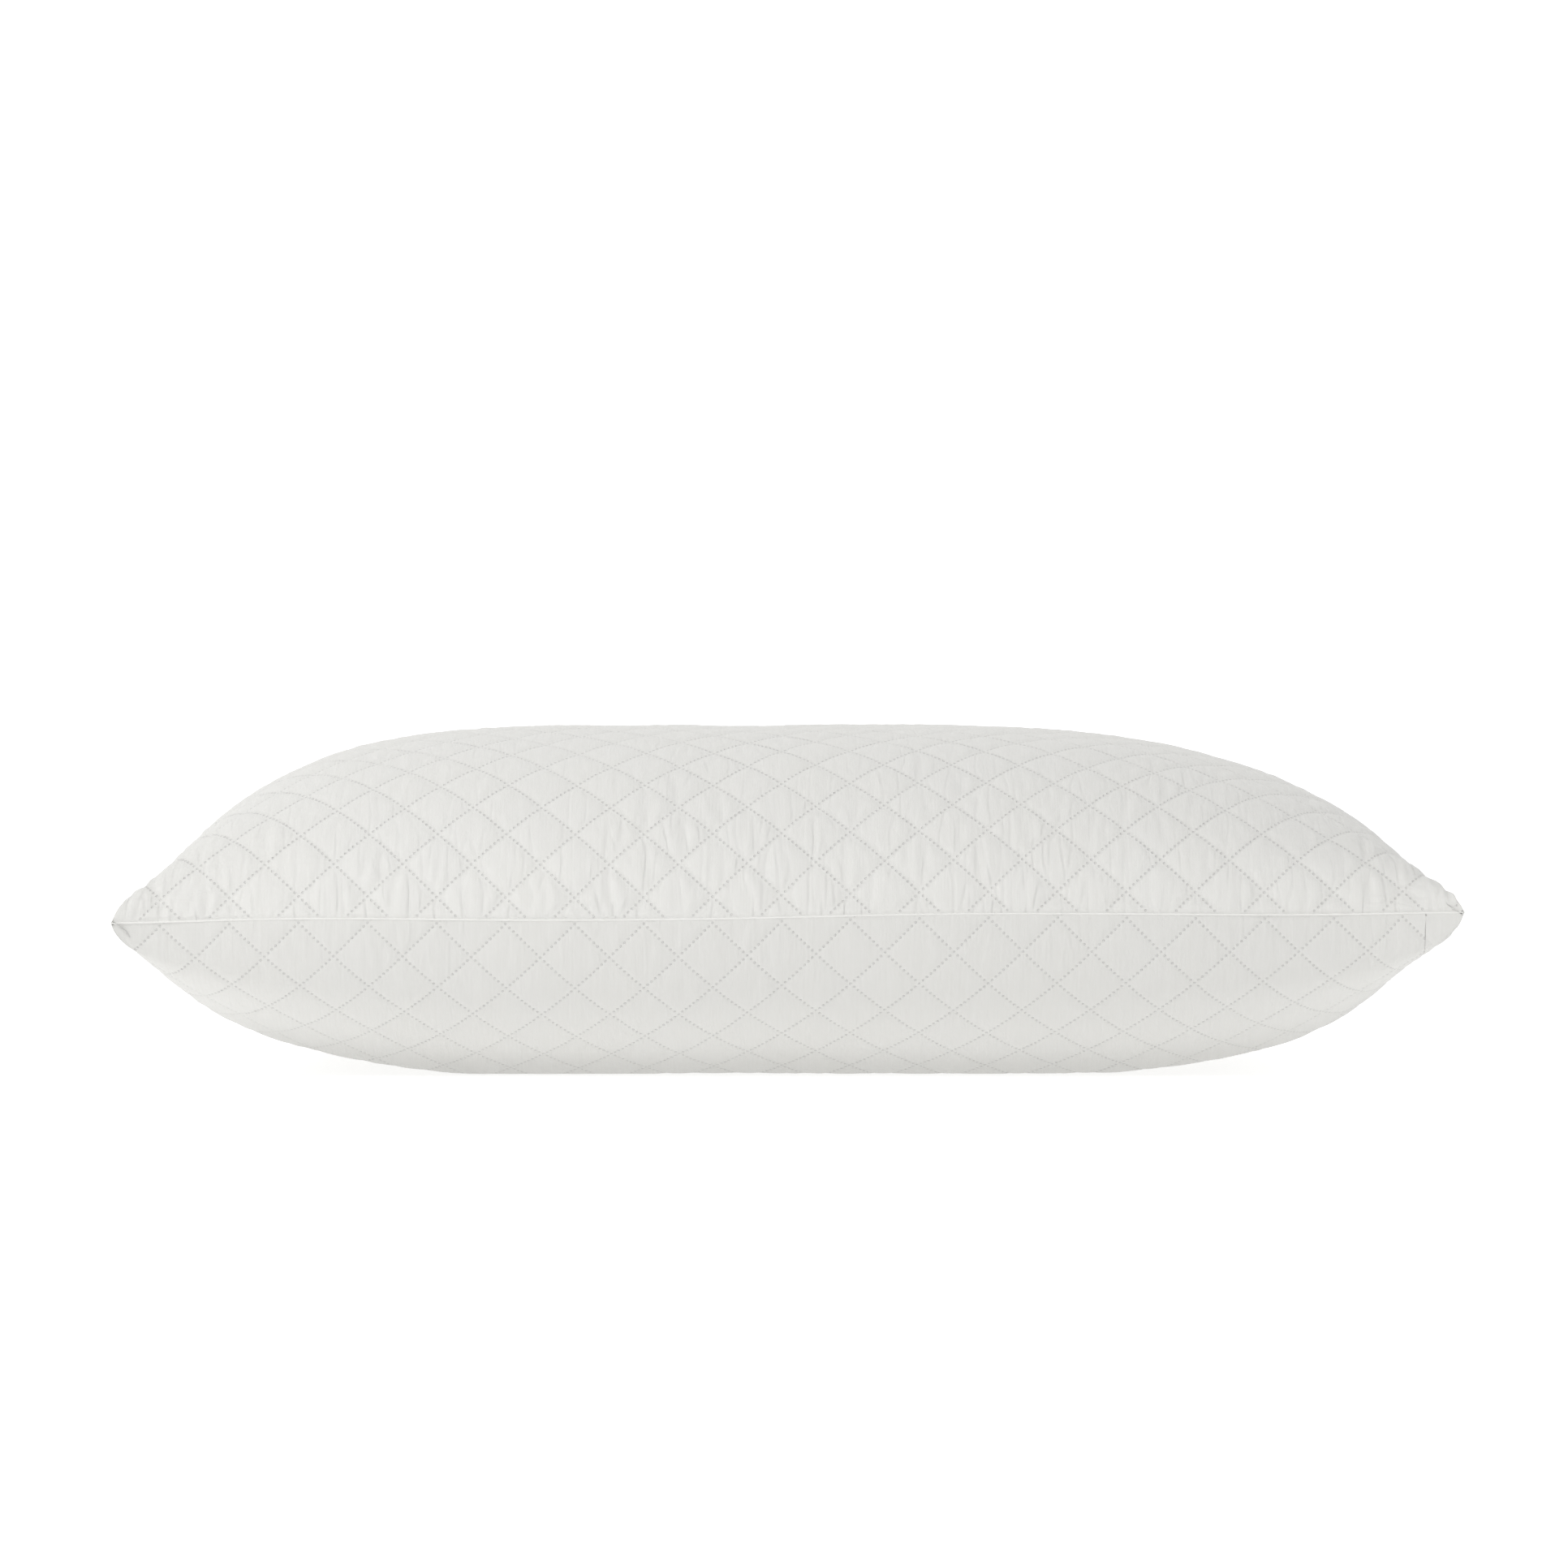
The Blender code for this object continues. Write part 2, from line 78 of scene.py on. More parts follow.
# %% Sizes of the pillow
MM = 0.001
CORNER_PAST_END, CORNER_PAST_SIDE = 4.5 * MM, 2.5 * MM
PULL_IN = 12 * MM
HALF_LENGTH = frame_high.x + CORNER_PAST_END
HALF_WIDTH = frame_high.y + CORNER_PAST_SIDE
LOFT = frame_high.z
SEAM = sum(corner.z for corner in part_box("seam_allowance")) / 2
END_PULL_IN = HALF_LENGTH - frame_high.x + PULL_IN
SIDE_PULL_IN = HALF_WIDTH - frame_high.y + PULL_IN
CORNER_ROUNDING = 5 * MM
COVER_THICKNESS = 4.9 * MM
CLOTH_THICKNESS = 1.1 * MM
print("seam height in mm:", round(1000 * SEAM, 1))

# %% Place of the zip
tape_low, tape_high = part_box("zip_tape_base_side")
strip_low, strip_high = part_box("zip_tape_strip_side")
across = Vector(((tape_low.x + tape_high.x) - (strip_low.x + strip_high.x), 0,
                 (tape_low.z + tape_high.z) - (strip_low.z + strip_high.z))).normalized()
outward = Vector((-across.z, 0, across.x))
tape_middle = (tape_low + tape_high + strip_low + strip_high) / 4
TAPE_DEPTH = 8.2 * MM
zip_centre = tape_middle + outward * TAPE_DEPTH
WINDOW_HALF_LENGTH = 0.175
WINDOW_HALF_WIDTH = 4.5 * MM
print("zip centre in mm:", [round(1000 * c, 1) for c in zip_centre], "outward", outward[:])

# %% [markdown]
# ## The crowned shape
#
# A filled pillow is fullest in the middle and falls away faster and faster towards its seam.
# Blown-up cloth could give that form, but it would settle a little differently each time its
# sizes changed. Here one curve gives the fall along the pillow and one across it, and the two
# are blended so that the panel comes down to the seam on every side. The four corners stand
# out as small ears, because there is little filling in them.

# %% Fullness of a panel
TOP, BASE = 1, -1


def fall(place, power, rounding):
    """A share that is 1 in the middle and drops to 0 at the places -1 and 1."""
    return np.clip(1 - np.abs(place) ** power, 1e-9, 1) ** rounding


def fullness(u, w, side):
    """How much of its full height the panel has at (u, w); lean is 1 towards the zipped end."""
    lean = 0.5 + 0.5 * np.tanh(u * 4)
    if side == TOP:
        along = fall(u, 5.2 - 1.6 * lean, 0.79 - 0.18 * lean)
        over = fall(w, 3.75, 0.55)
    else:
        along = np.minimum(1, 1.03 * fall(u, 4.0 + 0.6 * lean, 0.53 + 0.14 * lean))
        over = np.minimum(1, 1.28 * fall(w, 2.5, 0.5))
    return (along ** -0.5 + over ** -0.5 - 1) ** -2


def full_height(side):
    """Height of the panel's middle above or below the seam."""
    return LOFT - SEAM if side == TOP else SEAM


# %% [markdown]
# ## Even rows of cloth
#
# Rows that are even on the floor would be stretched where the panel is steep, and its quilting
# would look coarse there. So the rows of the mesh are set out along the curved line of the
# cloth. They are closer together beside the seam and beside the zip, where folds are small.

# %% Rows and columns
COLUMNS, ROWS, FINE = 100, 76, 4
CURVE_SAMPLES = 20001


def even_places(reach, height_at, count, close_to=()):
    """Places from -1 to 1 that are evenly spaced along the curved cloth."""
    place = np.sin(np.linspace(-1, 1, CURVE_SAMPLES) * math.pi / 2)
    step = np.hypot(np.diff(place * reach), np.diff(height_at(place)))
    arc = np.concatenate([[0], np.cumsum(step)])
    middle = (arc[1:] + arc[:-1]) / 2
    from_seam = np.minimum(middle, arc[-1] - middle)
    beside_seam = 5 * np.exp(-from_seam / (2 * MM))
    near_seam = 1.5 * np.exp(-from_seam / (7 * MM))
    density = 1 + beside_seam + near_seam
    for x in close_to:
        density += 2.5 * np.exp(-np.abs(middle - np.interp(x, place * reach, arc)) / (5 * MM))
    walked = np.concatenate([[0], np.cumsum(step * density)])
    return np.interp(np.linspace(0, walked[-1], count + 1), walked, place)


def panel_places(side):
    """The grid of places (u, w) on one panel."""
    close_to = (zip_centre.x,) if side == BASE else ()
    u = even_places(HALF_LENGTH - END_PULL_IN, lambda p: full_height(side) * fullness(p, 0, side),
                    COLUMNS * FINE, close_to)
    w = even_places(HALF_WIDTH - SIDE_PULL_IN, lambda p: full_height(side) * fullness(0, p, side),
                    ROWS * FINE)
    return np.meshgrid(u, w)


# %% [markdown]
# ## Seam line
#
# The seam is drawn straight on paper, but the filling pushes it up and down a little, so its
# height is given at a few places and run smoothly between them. The lips of the two panels
# stand a few millimetres proud of it, because the quilting is thick, and more so at the ears.

# %% A panel's smooth surface
SEAM_PLACES = (-0.32, -0.27, -0.22, -0.14, -0.06, 0.0, 0.07, 0.16, 0.24, 0.29, 0.32)
SEAM_LIFTS = (-2.9, -1.0, 0.0, -1.2, -1.0, 0.2, 2.0, 1.9, 1.2, 2.0, 3.2)
LIFT_SPREAD, LIFT_FADE = 0.04, 25 * MM
SIDE_CURVE, CORNER_CURVE = 10, 8
EAR_RADIUS = 17 * MM
LIP_HEIGHT, EAR_LIP = 4.2, 2.4
LIP_REACH, EAR_REACH = 2.5, 1.0
PANEL_GAP = 0.06 * MM


def smooth_step(value):
    """0 below 0, 1 above 1 and a smooth rise between."""
    value = np.clip(value, 0, 1)
    return value * value * (3 - 2 * value)


def seam_lift(x, w):
    """How far the filling pushes the seam up at a place along the pillow."""
    spread = np.linspace(-LIFT_SPREAD, LIFT_SPREAD, 9)
    near = np.mean([np.interp(x + d, SEAM_PLACES, SEAM_LIFTS) for d in spread], axis=0)
    far = np.mean([np.interp(-x + d, SEAM_PLACES, SEAM_LIFTS) for d in spread], axis=0)
    return MM * (near * (1 - w) - far * (1 + w)) / 2


def panel_surface(side):
    """The panel's outside before it is quilted: points, places u, and nearness to an ear."""
    u, w = panel_places(side)
    end_reach = HALF_LENGTH - END_PULL_IN * (1 - np.abs(w) ** SIDE_CURVE)
    side_reach = HALF_WIDTH - SIDE_PULL_IN * (1 - np.abs(u) ** SIDE_CURVE)
    corner = CORNER_ROUNDING * np.abs(u * w) ** CORNER_CURVE
    x = u * (end_reach - corner)
    y = w * (side_reach - corner)
    to_end = np.maximum(end_reach - corner - np.abs(x), 1e-7)
    to_side = np.maximum(side_reach - corner - np.abs(y), 1e-7)
    to_edge = 1 / np.hypot(1 / to_end, 1 / to_side)
    from_tip = np.hypot(HALF_LENGTH - np.abs(x), HALF_WIDTH - np.abs(y))
    ear = np.exp(-(from_tip / EAR_RADIUS) ** 2)
    lip_reach = (LIP_REACH - EAR_REACH * ear) * MM
    lip = (LIP_HEIGHT + EAR_LIP * ear) * MM * (1 - np.exp(-to_edge / lip_reach))
    height = lip + (full_height(side) - lip) * fullness(u, w, side)
    lift = seam_lift(x, w) * np.exp(-height / LIFT_FADE)
    z = SEAM + lift + side * (PANEL_GAP + height)
    return np.stack([x, y, z], axis=-1), u, ear


def unit(vectors):
    """Vectors at length 1."""
    return vectors / np.maximum(np.linalg.norm(vectors, axis=-1, keepdims=True), 1e-12)


def outward_normals(points, side):
    """Outward direction at every point of a grid."""
    turn = np.cross(np.gradient(points, axis=1), np.gradient(points, axis=0))
    return unit(turn) * side


# %% [markdown]
# ## Measuring along the cloth
#
# The quilting was made on flat cloth. A pattern laid on from above would stretch down the
# sides, so this one follows distances along the cloth. The distance along the pillow starts at
# its middle, and the distance across it starts at the nearer seam. The difference between the
# two seams is lost in the middle of the panel.

# %% Cloth distances
QUILT_STEP = 32.7 * MM
QUILT_SIDE = QUILT_STEP / math.sqrt(2)
FIRST_CROSSING = {TOP: 10.8 * MM, BASE: 1.8 * MM}
ALONG_SHIFT = 2.9 * MM


def cloth_distances(points, side, u):
    """Distance along and across the cloth at every point of a grid, from a quilting crossing."""
    step = np.linalg.norm(np.diff(points, axis=1), axis=-1)
    along = np.concatenate([np.zeros((len(points), 1)), np.cumsum(step, axis=1)], axis=1)
    middle = np.argmin(np.abs(u[0]))
    along = along - along[:, middle:middle + 1] + points[:, middle:middle + 1, 0]
    step = np.linalg.norm(np.diff(points, axis=0), axis=-1)
    over = np.concatenate([np.zeros((1, points.shape[1])), np.cumsum(step, axis=0)], axis=0)
    whole = over[-1, middle]
    over = over + (whole - over[-1]) * smooth_step((over / over[-1] - 0.25) / 0.5)
    return along + ALONG_SHIFT, over - FIRST_CROSSING[side]


# %% [markdown]
# ## The edge of each panel
#
# Both panels turn in at the seam and dip a little beside it, the upper one more than the lower
# one. The dip could be left to the finish, but as a shape it gives a faint shadow line above
# the seam in any light.

# %% Edge of a panel
DIP_PLACE, DIP_WIDTH = 1.2 * MM, 0.7 * MM
DIP_DEPTH = {TOP: -0.22, BASE: -0.08}


def edge_relief(side, to_edge):
    """The dip beside the seam."""
    dip = np.exp(-((to_edge - DIP_PLACE) / DIP_WIDTH) ** 2)
    return DIP_DEPTH[side] * MM * dip


# %% [markdown]
# ## Quilting
#
# Rows of small welds cross the cloth at 45 degrees and hold it down, and the wadding puffs up
# between them. Each diamond has up to four soft creases, because the cloth there is slightly
# too wide for the wadding under it, and they run away from the nearest seam. Simulated cloth
# would make such creases too, but a rule for each diamond is quick and always the same.

# %% Relief of the quilting
CREASE_COUNT, CREASE_SPREAD, CREASE_DEPTH = 4, 15, 1.15
CREASE_FADE = 4.5 * MM
TOP_PUFF, SEAM_PUFF, BASE_PUFF = 1.1, 0.9, 0.6
VALLEY_WIDTH = 2.0 * MM
CREASING = {TOP: 1.0, BASE: 0.35}
CORNER_FOLD = 0.4 * MM


def chance(a, b, salt):
    """A settled random number from 0 to 1 for each pair of whole numbers."""
    mixed = np.sin(a * 127.1 + b * 311.7 + salt * 74.7) * 43758.5453
    return mixed - np.floor(mixed)


def creases(s, t, strength):
    """Depth of the creases in each diamond; they run along t."""
    a, b = (s + t) / QUILT_STEP, (s - t) / QUILT_STEP
    cell_a, cell_b = np.floor(a), np.floor(b)
    in_s = s - (cell_a + cell_b + 1) / 2 * QUILT_STEP
    in_t = t - (cell_a - cell_b) / 2 * QUILT_STEP
    to_line = np.minimum(np.abs(a - np.round(a)), np.abs(b - np.round(b))) * QUILT_SIDE
    fade = smooth_step(to_line / CREASE_FADE)
    total = np.zeros_like(s)
    for number in range(CREASE_COUNT):
        place = (chance(cell_a, cell_b, number) - 0.5) * CREASE_SPREAD * MM
        slant = (chance(cell_a, cell_b, number + 10) - 0.5) * 0.5
        bow = (chance(cell_a, cell_b, number + 20) - 0.5) * 30
        width = (1.3 + 1.2 * chance(cell_a, cell_b, number + 30)) * MM
        shown = np.clip(chance(cell_a, cell_b, number + 40) * 1.7 - 0.7, 0, 1)
        offset = (in_s - place - slant * in_t - bow * in_t ** 2) / width
        profile = np.exp(-offset ** 2) - 0.45 * np.exp(-((offset - 1.9) / 1.2) ** 2)
        total += shown * CREASE_DEPTH * MM * profile
    return total * fade * strength


def lumps(x, y, wave, salt):
    """Slow seeded swells from -1 to 1."""
    random = np.random.default_rng(salt)
    total = np.zeros_like(x)
    for _ in range(14):
        angle, phase = random.uniform(0, math.pi), random.uniform(0, 2 * math.pi)
        length = wave * random.uniform(0.7, 1.6)
        total += np.sin((x * math.cos(angle) + y * math.sin(angle)) * 2 * math.pi / length + phase)
    return total / 6


def quilt_relief(points, side, s, t):
    """How far the quilted cloth stands out from the smooth surface, and its slack each way."""
    a, b = (s + t) / QUILT_STEP, (s - t) / QUILT_STEP
    from_a = np.abs(a - np.round(a)) * QUILT_SIDE
    from_b = np.abs(b - np.round(b)) * QUILT_SIDE
    to_side = np.minimum(t - t[0], t[-1] - t)
    to_end = np.minimum(s - s[:, :1], s[:, -1:] - s)
    to_edge = 1 / np.hypot(1 / np.maximum(to_side, 1e-7), 1 / np.maximum(to_end, 1e-7))
    puff = TOP_PUFF + SEAM_PUFF * np.exp(-to_side / (40 * MM)) if side == TOP else BASE_PUFF
    puff = puff * MM
    valley = np.exp(-from_a / VALLEY_WIDTH) + np.exp(-from_b / VALLEY_WIDTH)
    valley = np.minimum(valley, 1) + 0.25 * np.maximum(valley - 1, 0)
    x, y = points[..., 0], points[..., 1]
    near_side = np.exp(-to_side / (70 * MM))
    near_end = np.exp(-to_end / (55 * MM))
    patch = np.clip(0.8 + 0.5 * lumps(x, y, 0.09, 5 + side), 0.2, 1.4)
    along_t = CREASING[side] * patch * (0.2 + 0.9 * near_side)
    along_s = 0.8 * CREASING[side] * patch * near_end
    from_corner = np.hypot(to_side, to_end)
    tip = smooth_step(from_corner / (30 * MM))
    along_t, along_s = along_t * tip, along_s * tip
    crease = creases(s, t, along_t)
    crease += creases(t + 400 * QUILT_STEP, s + 400 * QUILT_STEP, along_s)
    swell = (0.7 * lumps(x, y, 0.16, 21 + side) + 0.35 * lumps(x, y, 0.06, 31 + side)) * MM
    settle = smooth_step(to_edge / (7 * MM))
    relief = (swell - puff * valley * 0.9 - crease) * (0.12 + 0.88 * settle)
    relief = relief + edge_relief(side, to_edge)
    fold = np.exp(-((to_side - 0.8 * to_end) / (1.6 * MM)) ** 2)
    fold = fold * np.exp(-((from_corner - 17 * MM) / (8 * MM)) ** 2)
    return relief * smooth_step(from_corner / (9 * MM)) - CORNER_FOLD * fold, along_t, along_s


def quilted_points(side):
    """Outside and inside points of a quilted panel, with the cloth distances of each."""
    smooth, u, ear = panel_surface(side)
    s, t = cloth_distances(smooth, side, u)
    up = np.array([0, 0, side])
    normals = unit(outward_normals(smooth, side) + 2 * ear[..., None] ** 4 * up)
    relief, along_t, along_s = quilt_relief(smooth, side, s, t)
    outside = smooth + normals * relief[..., None]
    outside[..., 2] = np.maximum(outside[..., 2], 0.0)
    rows, columns = np.indices(relief.shape)
    from_rim = np.minimum(np.minimum(rows, relief.shape[0] - 1 - rows),
                          np.minimum(columns, relief.shape[1] - 1 - columns)) / FINE
    depth = CLOTH_THICKNESS + (COVER_THICKNESS - CLOTH_THICKNESS) * smooth_step(from_rim / 3)
    depth = np.minimum(depth, 0.6 * np.abs(smooth[..., 2] - SEAM) + 0.02 * MM)
    inside = smooth - normals * depth[..., None]
    return outside, inside, np.stack([s, t, along_t, along_s], axis=-1)


# %% [markdown]
# ## Making the mesh
#
# A flat grid is extruded into a thin slab and only its outside is cut finer, so the inside of
# the cover stays light. Then every vertex moves to its place on the pillow's outside, and the
# inner ones remember how far to move in, so that a panel can be cut before it has thickness.
# The cloth distances become the UV map, which the cloth's weave and welds are drawn on.

# %% Panel mesh
def only_vertices(items):
    """The vertices among an operator's results."""
    return [item for item in items if isinstance(item, bmesh.types.BMVert)]


def shade_smooth(bm):
    """Shade every face smooth."""
    for face in bm.faces:
        face.smooth = True


def slab(columns, rows):
    """A flat slab from -1 to 1 each way, and the faces of its outside."""
    bm = bmesh.new()
    bmesh.ops.create_grid(bm, x_segments=columns, y_segments=rows, size=1.0)
    outer_faces = bm.faces[:]
    copied = bmesh.ops.extrude_face_region(bm, geom=outer_faces, use_keep_orig=True)
    bmesh.ops.translate(bm, vec=(0, 0, -1), verts=only_vertices(copied["geom"]))
    return bm, outer_faces


def panel_bmesh(points):
    """A closed shell of one quilted panel, not yet thickened."""
    outside, inside, values = points
    bm, outer_faces = slab(COLUMNS, ROWS)
    outer_edges = list({edge for face in outer_faces for edge in face.edges})
    bmesh.ops.subdivide_edges(bm, edges=outer_edges, cuts=FINE - 1, use_grid_fill=True)
    distances = bm.loops.layers.uv.new("cloth")
    slack = bm.loops.layers.uv.new("slack")
    inward = bm.verts.layers.float_vector.new("inward")
    value_at = {}
    for vertex in bm.verts:
        column = round((vertex.co.x + 1) / 2 * COLUMNS * FINE)
        row = round((vertex.co.y + 1) / 2 * ROWS * FINE)
        value_at[vertex] = values[row, column]
        if vertex.co.z < -0.5:
            vertex[inward] = inside[row, column] - outside[row, column]
        vertex.co = outside[row, column]
    shade_smooth(bm)
    for face in bm.faces:
        for loop in face.loops:
            loop[distances].uv = value_at[loop.vert][:2]
            loop[slack].uv = value_at[loop.vert][2:]
    return bm


def thicken_panel(bm):
    """Move the inner vertices in, which gives the panel its thickness."""
    inward = bm.verts.layers.float_vector["inward"]
    for vertex in bm.verts:
        vertex.co += vertex[inward]
    bm.verts.layers.float_vector.remove(inward)
    bmesh.ops.recalc_face_normals(bm, faces=bm.faces)
    return bm


def finish_piece(bm, name, material, body, slot):
    """Turn a bmesh into a named piece that rides on a body."""
    mesh = bpy.data.meshes.new(name)
    bm.to_mesh(mesh)
    bm.free()
    piece = bpy.data.objects.new(name, mesh)
    bpy.context.scene.collection.objects.link(piece)
    piece.data.materials.append(material)
    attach(piece, body)
    print(name, "has", len(mesh.polygons), "faces")
    return piece


# %% [markdown]
# ## Shader maths in Python
#
# A wire is one output of a node. Python's operators on wires add Math nodes, so a pattern is
# written as a formula. Every other node comes from the finish's node method.

# %% Wires and finishes
class Wire:
    """One output socket, with Math nodes for its operators."""

    def __init__(self, finish, socket):
        self.finish, self.socket = finish, socket

    def maths(self, operation, *others):
        return self.finish.node("ShaderNodeMath", {"operation": operation}, self, *others)

    def __add__(self, other):
        return self.maths("ADD", other)

    def __sub__(self, other):
        return self.maths("SUBTRACT", other)

    def __rsub__(self, other):
        return self.finish.node("ShaderNodeMath", {"operation": "SUBTRACT"}, other, self)

    def __mul__(self, other):
        return self.maths("MULTIPLY", other)

    def __truediv__(self, other):
        return self.maths("DIVIDE", other)

    def __abs__(self):
        return self.maths("ABSOLUTE")

    def __round__(self):
        return self.maths("ROUND")

    __radd__ = __add__
    __rmul__ = __mul__


class Finish:
    """A Principled material whose patterns are written as formulas."""

    def __init__(self, name, **constants):
        self.material = bpy.data.materials.new(name)
        self.material.use_nodes = True
        self.nodes = self.material.node_tree.nodes
        self.shader = self.nodes["Principled BSDF"]
        for socket, value in constants.items():
            self.shader.inputs[socket.replace("_", " ")].default_value = value

    def put(self, socket, value):
        """Link a wire to a socket, or set its value."""
        if isinstance(value, Wire):
            self.material.node_tree.links.new(value.socket, socket)
        else:
            socket.default_value = value

    def node(self, kind, settings=None, *values, output=0, **named):
        """Add a node: its settings first, then its sockets in order or by name."""
        node = self.nodes.new(kind)
        for setting, value in (settings or {}).items():
            setattr(node, setting, value)
        for socket, value in zip(node.inputs, values):
            self.put(socket, value)
        for socket, value in named.items():
            self.put(node.inputs[socket.replace("_", " ")], value)
        return Wire(self, node.outputs[output])

    def feed(self, socket, wire):
        """Send a wire to one of the shader's sockets."""
        self.put(self.shader.inputs[socket], wire)

    def bump(self, height, distance, strength=1.0):
        """Raise the surface by a height from 0 to 1 times a distance in metres."""
        self.feed("Normal", self.node("ShaderNodeBump", None, Height=height, Distance=distance,
                                      Strength=strength))

    def blend(self, share, first, second):
        """Mix two colours by a share."""
        node = self.nodes.new("ShaderNodeMix")
        node.data_type = "RGBA"
        self.put(node.inputs[0], share)
        self.put(node.inputs[6], first)
        self.put(node.inputs[7], second)
        return Wire(self, node.outputs[2])


# %% [markdown]
# ## Quilted cloth
#
# The face cloth is plain woven white polyester with thicker threads here and there, which
# show as fine upright streaks. The welds are small pits, nine to the side of a diamond, and
# their grey is painted shade. As shapes, thousands of dots would need a very heavy mesh, so
# formulas on the cloth distances draw them, and a bump sinks them. The cloth of the lower
# panel and the end strip is painted a little darker than the upper one, as painted shade
# for the less lit underside.

# %% Quilted cloth finish
def pucker_lines(finish, across_them, along_them, shift):
    """Thin soft creases, a few millimetres apart, from 0 to 1."""
    place = finish.node("ShaderNodeCombineXYZ", None, across_them * 120 + shift * 7,
                        along_them * 24 + shift * 13)
    waves = finish.node("ShaderNodeTexNoise", {"noise_dimensions": "2D"}, Vector=place,
                        Scale=1.0, Detail=1.0, Roughness=0.4)
    return finish.node("ShaderNodeMapRange", {"interpolation_type": "SMOOTHSTEP"},
                       abs(waves - 0.5), 0.13, 0.0, 0.0, 1.0)


DOTS_PER_SIDE = 9
DOT_OUTER, DOT_INNER = 0.66 * MM, 0.34 * MM
WARP, WEFT = 0.55 * MM, 0.60 * MM
WHITES = (0.655, 0.650, 0.622), (0.70, 0.695, 0.672), (0.67, 0.669, 0.66)
# Grey of the painted shade in the weld pits.
WELD_PIT_SHADE = (0.48, 0.48, 0.47, 1)


def quilted_cloth(name, dot_shown, shade):
    """White woven cloth with quilting welds whose pits get painted shade; a shade below 1 darkens
    the cloth as painted shade.
    """
    # The whites are scaled by shade, which below 1 is painted shade.
    thin, thick, worn = [tuple(shade * part for part in colour) + (1,) for colour in WHITES]
    finish = Finish(name, Roughness=0.85, Sheen_Weight=0.15, Sheen_Roughness=0.6)
    finish.shader.inputs["Specular IOR Level"].default_value = 0.25
    place = finish.node("ShaderNodeUVMap", {"uv_map": "cloth"})
    parted = finish.node("ShaderNodeSeparateXYZ", None, place)
    s = parted
    t = Wire(finish, parted.socket.node.outputs[1])
    a, b = (s + t) / QUILT_STEP, (s - t) / QUILT_STEP
    from_a, from_b = (a - round(a)) * QUILT_SIDE, (b - round(b)) * QUILT_SIDE
    pitch = QUILT_SIDE / DOTS_PER_SIDE
    dots_a, dots_b = a * DOTS_PER_SIDE, b * DOTS_PER_SIDE
    step_a, step_b = (dots_a - round(dots_a)) * pitch, (dots_b - round(dots_b)) * pitch
    first = (from_a * from_a + step_b * step_b).maths("SQRT")
    second = (from_b * from_b + step_a * step_a).maths("SQRT")
    nearest = first.maths("MINIMUM", second)
    dot = finish.node("ShaderNodeMapRange", {"interpolation_type": "SMOOTHSTEP"}, nearest,
                      DOT_OUTER, DOT_INNER, 0.0, 1.0)
    line = abs(from_a).maths("MINIMUM", abs(from_b))
    welded = finish.node("ShaderNodeMapRange", {"interpolation_type": "SMOOTHSTEP"}, line,
                         1.6 * MM, 0.2 * MM, 0.0, 1.0)
    slack = finish.node("ShaderNodeUVMap", {"uv_map": "slack"})
    slack_t = finish.node("ShaderNodeSeparateXYZ", None, slack)
    slack_s = Wire(finish, slack_t.socket.node.outputs[1])
    diamond = finish.node("ShaderNodeCombineXYZ", None, a.maths("FLOOR"), b.maths("FLOOR"))
    shift = finish.node("ShaderNodeTexWhiteNoise", {"noise_dimensions": "2D"}, Vector=diamond)
    shift_t, shift_s = shift * 0.9, shift * 0.7
    fade = finish.node("ShaderNodeMapRange", {"interpolation_type": "SMOOTHSTEP"}, line,
                       0.4 * MM, 3.0 * MM, 0.25, 1.0)
    puckers = pucker_lines(finish, s, t, shift_t) * slack_t
    puckers = puckers + pucker_lines(finish, t, s, shift_s) * slack_s
    streak_place = finish.node("ShaderNodeMapping", None, place, Scale=(900, 45, 1))
    streak = finish.node("ShaderNodeTexNoise", {"noise_dimensions": "2D"}, Vector=streak_place,
                         Scale=1.0, Detail=3.0, Roughness=0.6)
    mottle_place = finish.node("ShaderNodeMapping", None, place, Scale=(30, 20, 1))
    mottle = finish.node("ShaderNodeTexNoise", {"noise_dimensions": "2D"}, Vector=mottle_place,
                         Scale=1.0, Detail=2.0, Roughness=0.5)
    weave = (s * (2 * math.pi / WARP)).maths("SINE")
    weave = weave * (t * (2 * math.pi / WEFT)).maths("SINE")
    plain = finish.blend(streak, thin, thick)
    plain = finish.blend(mottle * 0.35, plain, worn)
    dot = dot * dot_shown
    # Painted shade in the weld pits, fainter where the cloth is creased.
    pit_shade = dot * (0.62 - slack_t * 0.32)
    finish.feed("Base Color", finish.blend(pit_shade, plain, WELD_PIT_SHADE))
    finish.feed("Roughness", 0.88 - dot * 0.25)
    height = streak * 0.22 + weave * 0.06 - dot * 0.6 + welded * 0.10 - puckers * fade * 0.75
    finish.bump(height, 0.7 * MM, 0.9)
    return finish.material


cloth = quilted_cloth("face_cloth", 0.82, 1.0)
# The lower panel and the end strip are painted 5 per cent darker, as painted shade for the
# underside.
shaded_base_cloth = quilted_cloth("shaded_base_cloth", 0.82, 0.95)
shaded_strip_cloth = quilted_cloth("end_strip_cloth", 0.25, 0.95)

# %% [markdown]
# ## Finishes of the other pieces
#
# Plain cloth, thread and zip tape are all woven or twisted. A picture of cloth could be laid on
# each, but it would blur close up, so each gets a fine repeating bump, measured in metres on
# the piece itself. Nylon and nickel are smooth, with small changes of gloss from handling.

# %% Other finishes
def place_on(finish):
    """The three coordinates of a point on the piece, in metres."""
    place = finish.node("ShaderNodeTexCoord", output=3)
    x = finish.node("ShaderNodeSeparateXYZ", None, place)
    return x, Wire(finish, x.socket.node.outputs[1]), Wire(finish, x.socket.node.outputs[2])


def wave(along, length):
    """A wave along a distance, from -1 to 1."""
    return (along * (2 * math.pi / length)).maths("SINE")


